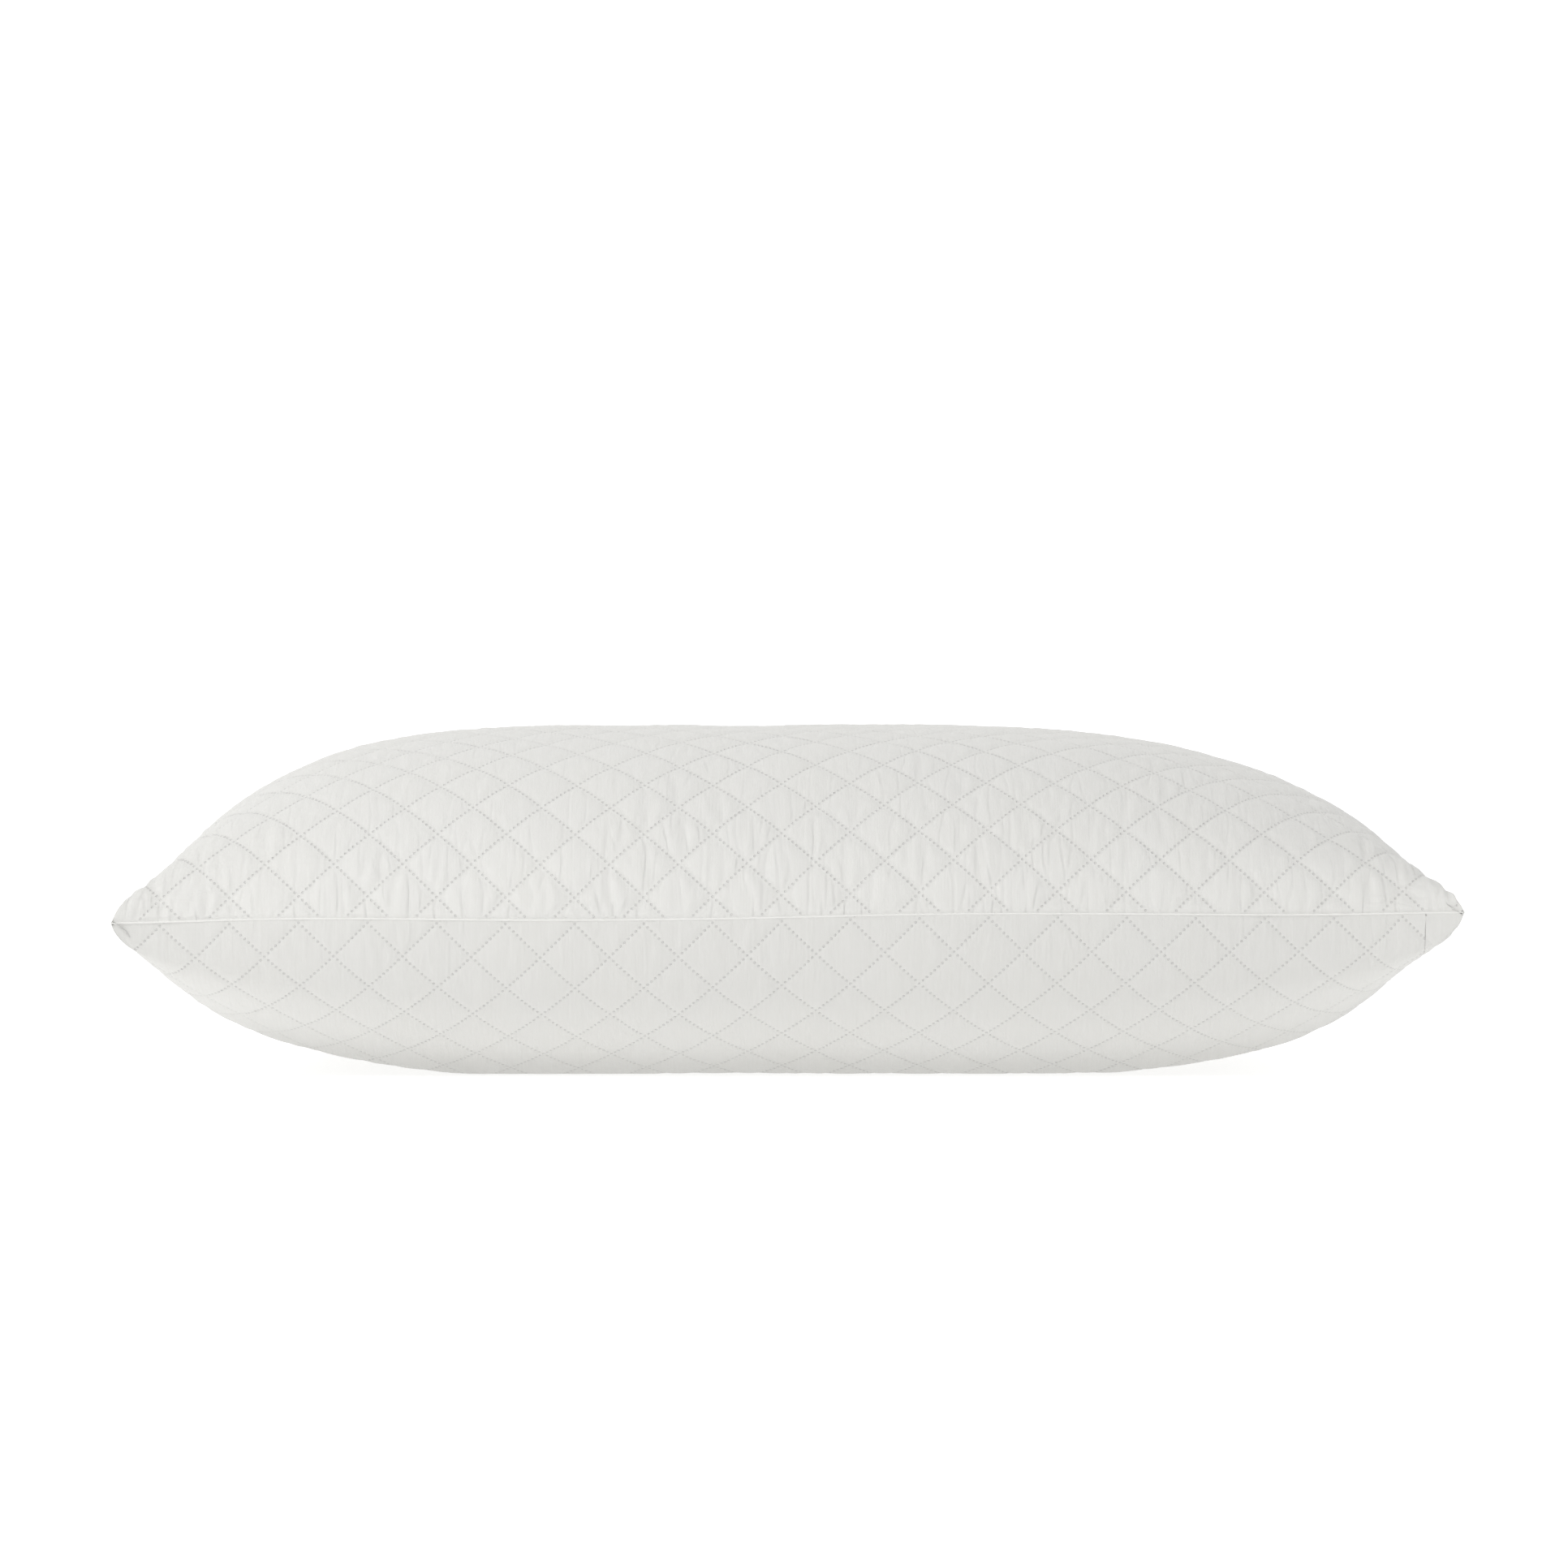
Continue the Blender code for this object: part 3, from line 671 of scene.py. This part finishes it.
def speckle(finish, scale, detail=2.0):
    """Soft noise from 0 to 1, with so many spots to a metre."""
    return finish.node("ShaderNodeTexNoise", None, finish.node("ShaderNodeTexCoord", output=3),
                       Scale=scale, Detail=detail)


def woven(name, dark, light, thread=0.5 * MM, depth=0.12 * MM, **constants):
    """A plain weave."""
    finish = Finish(name, **constants)
    x, y, z = place_on(finish)
    weave = wave(x + z, thread) * wave(y - z * 0.5, thread)
    finish.feed("Base Color", finish.blend(speckle(finish, 60), dark, light))
    finish.feed("Roughness", 0.85 + speckle(finish, 400) * 0.1)
    finish.bump(weave * 0.5 + speckle(finish, 900), depth)
    return finish.material


def twisted(name, dark, light, twist, depth):
    """A twisted thread."""
    finish = Finish(name, Roughness=0.7, Sheen_Weight=0.2)
    x, y, z = place_on(finish)
    ply = wave(x + y + z, twist)
    # The colour follows the ply: darker in the grooves between the plies, which is painted shade.
    finish.feed("Base Color", finish.blend(ply * 0.5 + 0.5, dark, light))
    finish.bump(ply * 0.5 + 0.5, depth)
    return finish.material


def herringbone(name, dark, light):
    """A woven tape whose ribs turn back and forth across it."""
    finish = Finish(name, Roughness=0.8, Sheen_Weight=0.1)
    x, y, z = place_on(finish)
    over = x * across.x + z * across.z
    band, rib_pitch = 2.4 * MM, 0.8 * MM
    rib = over / band
    zigzag = abs(rib - round(rib)) * band
    ribs = wave(y + zigzag, rib_pitch) * 0.5 + 0.5
    # The colour follows the ribs: darker between them, which is painted shade.
    finish.feed("Base Color", finish.blend(ribs, dark, light))
    finish.bump(ribs + speckle(finish, 1200) * 0.4, 0.12 * MM)
    return finish.material


def smooth_finish(name, dark, light, low, high, **constants):
    """Nylon or plated metal, with gloss that changes from place to place."""
    finish = Finish(name, **constants)
    finish.feed("Base Color", finish.blend(speckle(finish, 300), dark, light))
    finish.feed("Roughness", low + speckle(finish, 700, 4.0) * (high - low))
    finish.bump(speckle(finish, 2500, 3.0), 0.01 * MM)
    return finish.material


# The fold cord's cloth is lighter than the face cloth: a painted highlight along the seam.
highlighted_fold_cloth = woven("highlighted_folded_face_cloth", (0.71, 0.707, 0.68, 1), (0.77, 0.767, 0.745, 1),
                   0.6 * MM, 0.06 * MM)
turned_cloth = woven("turned_in_cloth", (0.66, 0.66, 0.63, 1), (0.72, 0.72, 0.69, 1))
casing_cloth = woven("inner_casing_cloth", (0.78, 0.78, 0.76, 1), (0.84, 0.84, 0.82, 1))
fibre = woven("fill_fibre", (0.84, 0.84, 0.83, 1), (0.92, 0.92, 0.91, 1), 2.2 * MM, 0.8 * MM)
satin = woven("label_satin", (0.82, 0.82, 0.81, 1), (0.88, 0.88, 0.87, 1), 0.3 * MM, 0.03 * MM,
              Sheen_Weight=0.3, Coat_Weight=0.15, Coat_Roughness=0.3)
thread = twisted("sewing_thread", (0.72, 0.72, 0.70, 1), (0.86, 0.86, 0.84, 1), 0.7 * MM,
                 0.08 * MM)
tape_weave = herringbone("zip_tape", (0.66, 0.66, 0.64, 1), (0.78, 0.78, 0.76, 1))
nylon = smooth_finish("zip_nylon", (0.76, 0.76, 0.74, 1), (0.82, 0.82, 0.80, 1), 0.28, 0.45,
                      Coat_Weight=0.1)
nickel = smooth_finish("zip_metal", (0.66, 0.65, 0.63, 1), (0.78, 0.77, 0.75, 1), 0.18, 0.40,
                       Metallic=1.0)

# %% [markdown]
# ## The two quilted panels
#
# The top panel is one quilted piece. The lower one is cut by an upright plane at the zip into
# the long base panel and the narrow end strip. The two could be made apart, but cut from one
# surface their quilting and their curve run on across the zip, as on cloth cut with scissors.

# %% Top panel
top_points = quilted_points(TOP)
quilted_top = finish_piece(thicken_panel(panel_bmesh(top_points)), "quilted_top", cloth,
                           "cover", "face_cloth")
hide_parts("cover_top_face", "cover_top_wadding", "cover_top_backing")

# %% [markdown]
# ## The folded edge at the seam
#
# The seam is sewn with the panels face to face and then turned right side out, so the cloth is
# folded tightly round the turned-in edges. A thin round cord of cloth laid along the line
# where the two panels meet makes that fold, and it hides the joint between the two meshes.
# Its cloth is painted lighter than the panels' cloth, a painted highlight where the tight fold
# catches the light.

# %% Seam fold
def rim_of(grid):
    """The points round the edge of a grid, in order."""
    return np.concatenate([grid[0, :-1], grid[:-1, -1], grid[-1, :0:-1], grid[:0:-1, 0]])


def closed_cord(name, points, radius, material, body, slot):
    """A round cord along a closed line of points."""
    curve = bpy.data.curves.new(name, "CURVE")
    curve.dimensions = "3D"
    curve.bevel_depth, curve.bevel_resolution = radius, 1
    line = curve.splines.new("POLY")
    line.use_cyclic_u = True
    line.points.add(len(points) - 1)
    line.points.foreach_set("co", np.c_[points, np.ones(len(points))].ravel())
    mesh_maker = bpy.data.objects.new(name + "_line", curve)
    mesh = bpy.data.meshes.new_from_object(mesh_maker)
    bpy.data.objects.remove(mesh_maker)
    bm = bmesh.new()
    bm.from_mesh(mesh)
    bmesh.ops.remove_doubles(bm, verts=bm.verts, dist=0.001 * MM)
    bmesh.ops.recalc_face_normals(bm, faces=bm.faces)
    shade_smooth(bm)
    return finish_piece(bm, name, material, body, slot)


FOLD_RADIUS = 0.5 * MM
closed_cord("seam_fold", rim_of(top_points[0])[::2], FOLD_RADIUS, highlighted_fold_cloth, "cover",
            "face_cloth")

# %% [markdown]
# ## Lips of the zip opening
#
# Along the zip the cut edges are folded in and held apart by the width of the opening. At
# both ends of the opening the two edges come together in a plain seam. A cut through a thick
# panel would leave a square wall across the opening. So the panel is cut while it has no
# thickness, its cut edges are bridged, and the vertices near them are pulled back and rolled
# in. Only then does the panel get its thickness, which is less along the folded edge.

# %% Base panel and end strip
base_points = quilted_points(BASE)
split = zip_centre.x
LIP_PULL_REACH, LIP_ROLL, LIP_THINNED = 12 * MM, 3.5 * MM, 0.6
JOIN_DIP, JOIN_DIP_WIDTH, JOIN_GAP = 0.45 * MM, 1.2 * MM, 0.05 * MM
OPENING_PAST, OPENING_TAPER = 6 * MM, 7 * MM
row_x, row_y, row_z = (base_points[0][..., axis] for axis in range(3))
line_y = np.array([np.interp(split, row_x[row], row_y[row]) for row in range(len(row_x))])
line_z = np.array([np.interp(split, row_x[row], row_z[row]) for row in range(len(row_x))])


def fold_lips(bm, side):
    """Pull the cut edges back from the zip, roll them in and thin them."""
    inward = bm.verts.layers.float_vector["inward"]
    for vertex in bm.verts:
        line = Vector((split, vertex.co.y, float(np.interp(vertex.co.y, line_y, line_z))))
        far = max(0.0, (vertex.co - line).dot(across) * side)
        if far >= LIP_PULL_REACH:
            continue
        to_end = WINDOW_HALF_LENGTH + OPENING_PAST - abs(vertex.co.y)
        opened = float(smooth_step(to_end / OPENING_TAPER))
        pulled = WINDOW_HALF_WIDTH * (1 - far / LIP_PULL_REACH) * opened
        turned = max(0.0, 1 - far / LIP_ROLL)
        sunk = opened * LIP_ROLL * (1 - math.sqrt(max(0.0, 1 - turned ** 2)))
        seam_dip = (1 - opened) * JOIN_DIP * math.exp(-(far / JOIN_DIP_WIDTH) ** 2)
        vertex.co += across * side * pulled - outward * (sunk + seam_dip)
        vertex[inward] *= 1 - LIP_THINNED * turned


def part_of_base(keep_base):
    """The base panel or the end strip, cut from the lower panel and closed."""
    bm = panel_bmesh(base_points)
    gap = JOIN_GAP * (-1 if keep_base else 1)
    result = bmesh.ops.bisect_plane(bm, geom=bm.verts[:] + bm.edges[:] + bm.faces[:],
                                    plane_co=(split + gap, 0, 0), plane_no=(1, 0, 0),
                                    clear_outer=keep_base, clear_inner=not keep_base)
    rim = [item for item in result["geom_cut"] if isinstance(item, bmesh.types.BMEdge)]
    inward = bm.verts.layers.float_vector["inward"]
    inner_ends = [sum(vertex[inward].length > 1e-6 for vertex in edge.verts) for edge in rim]
    sides = [edge for edge, inner in zip(rim, inner_ends) if inner != 1]
    wall = bmesh.ops.bridge_loops(bm, edges=sides)["faces"]
    plain_spot = (QUILT_STEP / 2, 0)
    for face in wall:
        for loop in face.loops:
            loop[bm.loops.layers.uv["cloth"]].uv = plain_spot
    fold_lips(bm, 1 if keep_base else -1)
    return thicken_panel(bm)


quilted_base = finish_piece(part_of_base(True), "quilted_base", shaded_base_cloth, "cover", "face_cloth")
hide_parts("cover_base_face", "cover_base_wadding", "cover_base_backing")
quilted_end_strip = finish_piece(part_of_base(False), "quilted_end_strip", shaded_strip_cloth, "cover",
                                 "face_cloth")
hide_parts("end_strip_face", "end_strip_wadding", "end_strip_backing")

# %% [markdown]
# ## Inner pillow
#
# Inside the cover is a plain woven casing, filled with loose fibre. Neither shows, and a
# simple block would do, but each is a soft body that may be looked at alone, so each is a
# smooth crowned form in the room that the frame gives it. The two sides of a slab are swelled
# up and down and welded together along the casing's seam.

# %% Crowned body
CASING_PULL_IN = 7 * MM
CASING_COLUMNS, CASING_ROWS = 96, 72


def crowned_bmesh(low, high):
    """A closed soft body that fills a box and comes to an edge at the seam's height."""
    bm, _ = slab(CASING_COLUMNS, CASING_ROWS)
    for vertex in bm.verts:
        side = TOP if vertex.co.z > -0.5 else BASE
        u, w = math.sin(vertex.co.x * math.pi / 2), math.sin(vertex.co.y * math.pi / 2)
        full = high.z - SEAM if side == TOP else SEAM - low.z
        vertex.co = (u * (high.x - CASING_PULL_IN * (1 - abs(w) ** SIDE_CURVE)),
                     w * (high.y - CASING_PULL_IN * (1 - abs(u) ** SIDE_CURVE)),
                     SEAM + side * full * float(fullness(u, w, side)))
    bmesh.ops.remove_doubles(bm, verts=bm.verts, dist=0.05 * MM)
    bmesh.ops.recalc_face_normals(bm, faces=bm.faces)
    shade_smooth(bm)
    return bm


def crowned_piece(name, low_node, high_node, material, slot):
    """A crowned piece between the lowest and highest corners of two nodes."""
    bm = crowned_bmesh(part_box(low_node)[0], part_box(high_node)[1])
    piece = finish_piece(bm, name, material, "cover", slot)
    return piece


inner_casing = crowned_piece("inner_casing", "inner_case_base", "inner_case_top", casing_cloth,
                             "inner_casing_cloth")
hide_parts("inner_case_top", "inner_case_base")
filling = crowned_piece("filling", "fill_core", "fill_core", fibre, "fill_fibre")
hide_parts("fill_core")

# %% [markdown]
# ## Zip tapes
#
# Each side of the zip is a woven tape, sewn flat to the inside of the cover. A plain strip would
# look like card, so it is a thin slab with a slight ripple from the stitching, and its edge
# beside the coil is a little thicker. It is made lying flat and then turned into its place.

# %% Place on the zip
def middle_of(node):
    """Middle of a node's box."""
    low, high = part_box(node)
    return (low + high) / 2


def on_zip(middle, flip=1):
    """Turns a shape made along Y, with Z up, to lie at a place on the zip."""
    turn = Matrix((across * flip, Vector((0, flip, 0)), outward)).transposed()
    return Matrix.Translation(middle) @ turn.to_4x4()


TAPE_WIDTH, TAPE_THICKNESS = 9.5 * MM, 0.6 * MM
TAPE_CORD, TAPE_RIPPLE, RIPPLE_PITCH = 0.12 * MM, 0.05 * MM, 7 * MM
tape_length = tape_high.y - tape_low.y


def tape_bmesh(side):
    """One woven zip tape, lying flat along Y; its coil edge is on the side given."""
    bm = bmesh.new()
    bmesh.ops.create_grid(bm, x_segments=12, y_segments=150, size=0.5)
    bmesh.ops.scale(bm, vec=(TAPE_WIDTH, tape_length, 1), verts=bm.verts)
    thickness = TAPE_THICKNESS - 2 * TAPE_RIPPLE
    bmesh.ops.solidify(bm, geom=bm.faces[:], thickness=thickness)
    for vertex in bm.verts:
        from_coil = 0.5 + side * vertex.co.x / TAPE_WIDTH
        cord = TAPE_CORD * math.exp(-(from_coil / 0.12) ** 2)
        ripple = TAPE_RIPPLE * math.sin(vertex.co.y * 2 * math.pi / RIPPLE_PITCH) * from_coil
        up = vertex.co.z > -thickness / 2
        vertex.co.z += thickness / 2 + ripple + (cord if up else 0)
    bmesh.ops.recalc_face_normals(bm, faces=bm.faces)
    return bm


for side_name, side in (("base", 1), ("strip", -1)):
    node = "zip_tape_%s_side" % side_name
    bm = tape_bmesh(side)
    bmesh.ops.transform(bm, matrix=on_zip(middle_of(node)), verts=bm.verts)
    tape = finish_piece(bm, "woven_tape_%s_side" % side_name, tape_weave, "cover", "zip_tape")
    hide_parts(node)

# %% [markdown]
# ## Coils
#
# The zip's teeth are one long nylon thread on each side, wound into a flat coil. A small ring
# is spun along a screw path, which is the way that a real coil is wound. The ring has only
# five sides, because there are hundreds of turns. Spinning gets slow as a mesh grows, so one
# short length is spun, and copies of it are welded end to end.

# %% Nylon coils
COIL_THREAD, COIL_RADIUS, COIL_WIDENED = 0.62 * MM, 1.0 * MM, 1.18
TURN_STEPS, LENGTH_TURNS, LENGTHS = 10, 12, 18
coil_low, coil_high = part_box("zip_coil_base_side")
coil_length = (coil_high.y - coil_low.y - COIL_THREAD) / LENGTHS
print("coil pitch in mm:", round(1000 * coil_length / LENGTH_TURNS, 2))


def coil_bmesh(hand):
    """A wound coil along Y."""
    bm = bmesh.new()
    bmesh.ops.create_circle(bm, segments=5, radius=COIL_THREAD / 2)
    bmesh.ops.translate(bm, vec=(COIL_RADIUS - COIL_THREAD / 2, 0, 0), verts=bm.verts)
    steps = TURN_STEPS * LENGTH_TURNS
    bmesh.ops.spin(bm, geom=bm.verts[:] + bm.edges[:], cent=(0, 0, 0), axis=(0, hand, 0),
                   dvec=(0, coil_length / steps, 0), angle=2 * math.pi * LENGTH_TURNS,
                   steps=steps, use_merge=False)
    first_length = bm.verts[:] + bm.edges[:] + bm.faces[:]
    for number in range(1, LENGTHS):
        copy = bmesh.ops.duplicate(bm, geom=first_length)["geom"]
        bmesh.ops.translate(bm, vec=(0, coil_length * number, 0), verts=only_vertices(copy))
    bmesh.ops.remove_doubles(bm, verts=bm.verts, dist=0.005 * MM)
    bmesh.ops.scale(bm, vec=(COIL_WIDENED, 1, 1), verts=bm.verts)
    bmesh.ops.translate(bm, vec=(0, -coil_length * LENGTHS / 2, 0), verts=bm.verts)
    bmesh.ops.holes_fill(bm, edges=[edge for edge in bm.edges if edge.is_boundary], sides=0)
    bmesh.ops.recalc_face_normals(bm, faces=bm.faces)
    shade_smooth(bm)
    return bm


for side_name, side in (("base", 1), ("strip", -1)):
    node = "zip_coil_%s_side" % side_name
    bm = coil_bmesh(side)
    bmesh.ops.transform(bm, matrix=on_zip(middle_of(node)), verts=bm.verts)
    coil = finish_piece(bm, "wound_coil_%s_side" % side_name, nylon, "cover", "zip_nylon")
    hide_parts(node)

# %% [markdown]
# ## Slider, pull tab and stops
#
# These are cast or pressed and then plated, so no edge is sharp. They could be modelled again,
# but the frame's solids already have the right shape and move rightly. So each is a copy of
# its solid with the triangles joined back into flat faces and the edges rounded.

# %% Rounded metal pieces
FLAT_ANGLE, SHARP_ANGLE = math.radians(1), math.radians(40)


def rounded_copy(node, width):
    """A copy of a solid of the frame with rounded edges, as a bmesh."""
    bm = bmesh.new()
    bm.from_mesh(nodes[node].data)
    bmesh.ops.remove_doubles(bm, verts=bm.verts, dist=0.01 * MM)
    bmesh.ops.dissolve_limit(bm, angle_limit=FLAT_ANGLE, verts=bm.verts, edges=bm.edges)
    sharp = [edge for edge in bm.edges
             if edge.is_manifold and edge.calc_face_angle() > SHARP_ANGLE]
    bmesh.ops.bevel(bm, geom=sharp, offset=width, affect="EDGES", segments=2,
                    profile=0.5, material=-1, clamp_overlap=True)
    bmesh.ops.triangulate(bm, faces=[face for face in bm.faces if len(face.verts) > 4])
    bmesh.ops.recalc_face_normals(bm, faces=bm.faces)
    return bm


for node, name, body, width in (
        ("zip_slider_body", "cast_slider", "slider", 0.30 * MM),
        ("zip_pull_tab", "pull_tab_plate", "pull_tab", 0.22 * MM),
        ("zip_end_stop", "pressed_end_stop", "cover", 0.35 * MM),
        ("zip_top_stop_base_side", "pressed_top_stop_base_side", "cover", 0.35 * MM),
        ("zip_top_stop_strip_side", "pressed_top_stop_strip_side", "cover", 0.35 * MM)):
    piece = finish_piece(rounded_copy(node, width), name, nickel, body, "zip_metal")
    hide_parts(node)

# %% [markdown]
# ## Topstitching beside the zip
#
# A row of stitches on each side of the opening goes through the cover and holds the tape. They
# could be dashes in the cloth's finish, but real ones stand out of the cloth, so each is a
# small rounded bar. A ray from outside finds the cloth under it, so that the row follows the
# quilting.

# %% Rows of stitches
STITCH_PITCH, STITCH_LENGTH, STITCH_WIDTH = 3.0 * MM, 2.3 * MM, 0.55 * MM
STITCH_LINE, STITCH_PROUD = 7.4 * MM, 0.08 * MM
RAY_START, RAY_LENGTH = 15 * MM, 30 * MM


def stitch_row(cloth_piece, side):
    """A bmesh of stitches along one side of the zip."""
    graph = bpy.context.evaluated_depsgraph_get()
    under = BVHTree.FromObject(cloth_piece, graph)
    bm = bmesh.new()
    count = int(2 * WINDOW_HALF_LENGTH / STITCH_PITCH)
    for number in range(count):
        y = (number + 0.5 - count / 2) * STITCH_PITCH
        start = zip_centre + across * side * STITCH_LINE + Vector((0, y, 0))
        hit, normal, _, _ = under.ray_cast(start + outward * RAY_START, -outward, RAY_LENGTH)
        if hit is None:
            continue
        made = bmesh.ops.create_uvsphere(bm, u_segments=6, v_segments=4, radius=0.5)
        bmesh.ops.scale(bm, vec=(STITCH_WIDTH, STITCH_LENGTH, STITCH_WIDTH), verts=made["verts"])
        bmesh.ops.transform(bm, matrix=on_zip(hit + normal * STITCH_PROUD), verts=made["verts"])
    shade_smooth(bm)
    return bm


for side_name, side, cloth_piece in (("base", 1, quilted_base), ("strip", -1, quilted_end_strip)):
    stitches = finish_piece(stitch_row(cloth_piece, side), "topstitch_%s_side" % side_name, thread,
                            "cover", "sewing_thread")
    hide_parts("zip_stitch_%s_side" % side_name)

# %% [markdown]
# ## Care label
#
# A blank satin label is caught in the far seam and hangs down beside the lower panel. A flat
# card would look stiff, so it is a fine grid of 34 by 42 mm that leaves the seam, turns down
# and bows a little. A Solidify modifier gives it the thickness of ribbon.

# %% Care label
label_low, label_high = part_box("care_label")
LABEL_WIDTH, LABEL_DROP, LABEL_THICKNESS = 34 * MM, 42 * MM, 0.25 * MM
LABEL_BOW, LABEL_CURL, LABEL_LEAVE = 1.3 * MM, 0.5 * MM, 1.9 * MM
bm = bmesh.new()
bmesh.ops.create_grid(bm, x_segments=16, y_segments=20, size=0.5)
for vertex in bm.verts:
    over, down = vertex.co.x, 0.5 - vertex.co.y
    bow = LABEL_BOW * math.sin(down * 3.4) * (0.6 + 0.8 * over) + LABEL_CURL * math.sin(over * 5)
    leave = LABEL_LEAVE * (1 - math.exp(-down * 12))
    vertex.co = ((label_low.x + label_high.x) / 2 + over * LABEL_WIDTH,
                 HALF_WIDTH - SIDE_PULL_IN + leave + bow * down,
                 SEAM - 0.3 * MM - down * LABEL_DROP * 0.99)
shade_smooth(bm)
label = finish_piece(bm, "blank_label", satin, "cover", "label_satin")
thicken = label.modifiers.new("thickness", "SOLIDIFY")
thicken.thickness, thicken.offset = LABEL_THICKNESS, 1.0
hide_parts("care_label")

# %% [markdown]
# ## Pieces kept from the frame
#
# The turned-in edges and the seams' threads lie hidden inside the cover. They could be made
# again, but they are already the right shape, so they stay and only get their finish.

# %% Finishes on the kept pieces
def dress(material, *names):
    """Give nodes of the frame a finish."""
    for name in names:
        for place in nodes[name].material_slots:
            place.material = material


dress(turned_cloth, "seam_allowance")
dress(thread, "seam_lockstitch", "seam_overlock", "inner_case_seam")

# %% [markdown]
# ## Floor, light and camera
#
# The pillow lies on a plain white table in a bright white room. The table glows a little, as a
# lit white sheet does, so that it stays white up to the pillow and throws light up under it.
# Most light comes evenly from everywhere, which alone would hide the quilting, so a soft lamp
# in front, high on the left, draws it out, and a weak one on the right keeps that side open.

# %% Floor and backdrop
def room_sheet(name, size, turn, place, albedo, glow, shine):
    """A plain lit sheet that belongs to the room and not to the pillow."""
    bm = bmesh.new()
    bmesh.ops.create_grid(bm, x_segments=1, y_segments=1, size=size)
    bmesh.ops.rotate(bm, matrix=Matrix.Rotation(turn, 3, "X"), verts=bm.verts)
    bmesh.ops.translate(bm, vec=place, verts=bm.verts)
    mesh = bpy.data.meshes.new(name)
    bm.to_mesh(mesh)
    bm.free()
    sheet = bpy.data.objects.new(name, mesh)
    bpy.context.scene.collection.objects.link(sheet)
    finish = Finish("white_" + name, Roughness=0.9, Base_Color=(albedo, albedo, albedo, 1),
                    Emission_Color=(1, 1, 1, 1), Emission_Strength=glow)
    finish.shader.inputs["Specular IOR Level"].default_value = shine
    sheet.data.materials.append(finish.material)
    sheet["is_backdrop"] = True


room_sheet("floor", 30, 0.0, (0, 0, -0.5 * MM), 0.72, 0.57, 0.0)
room_sheet("backdrop", 9, math.pi / 2, (0, 6, 8.9), 0.5, 0.85, 0.5)

# %% Light
ROOM_LIGHT = 0.65
world = bpy.data.worlds.new("white_room")
bpy.context.scene.world = world
world.use_nodes = True
world.node_tree.nodes["Background"].inputs["Color"].default_value = (1, 1, 1, 1)
world.node_tree.nodes["Background"].inputs["Strength"].default_value = ROOM_LIGHT


def add_lamp(name, place, size, power):
    """A soft square lamp aimed at the pillow; place in metres, power in watts."""
    lamp = bpy.data.lights.new(name, "AREA")
    lamp.shape, lamp.size, lamp.size_y = "RECTANGLE", size, size
    lamp.energy = power
    item = bpy.data.objects.new(name, lamp)
    bpy.context.scene.collection.objects.link(item)
    item.location = place
    aim = Vector((0, 0, SEAM)) - Vector(place)
    item.rotation_euler = aim.to_track_quat("-Z", "Y").to_euler()


add_lamp("key_lamp", (-1.15, -1.2, 1.5), 0.4, 18)
add_lamp("side_lamp", (1.6, -0.9, 1.6), 0.9, 3)
bpy.context.scene.view_settings.view_transform = "Standard"

# %% Camera
CAMERA_SHIFT, CAMERA_DISTANCE, CAMERA_ABOVE_SEAM, LENS = -1.7 * MM, 3.0, 63.4 * MM, 145.4
camera = bpy.data.objects.new("camera", bpy.data.cameras.new("camera"))
bpy.context.scene.collection.objects.link(camera)
camera.location = (CAMERA_SHIFT, -(HALF_WIDTH - SIDE_PULL_IN) - CAMERA_DISTANCE,
                   SEAM + CAMERA_ABOVE_SEAM)
camera.rotation_euler = (math.pi / 2, 0, 0)
camera.data.lens = LENS
bpy.context.scene.camera = camera

# %% Print the shown size
shown_low, shown_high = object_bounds()
list(frame_low)
list(frame_high)
list(shown_low)
list(shown_high)
print("shown size in mm:", [round(1000 * side) for side in shown_high - shown_low])
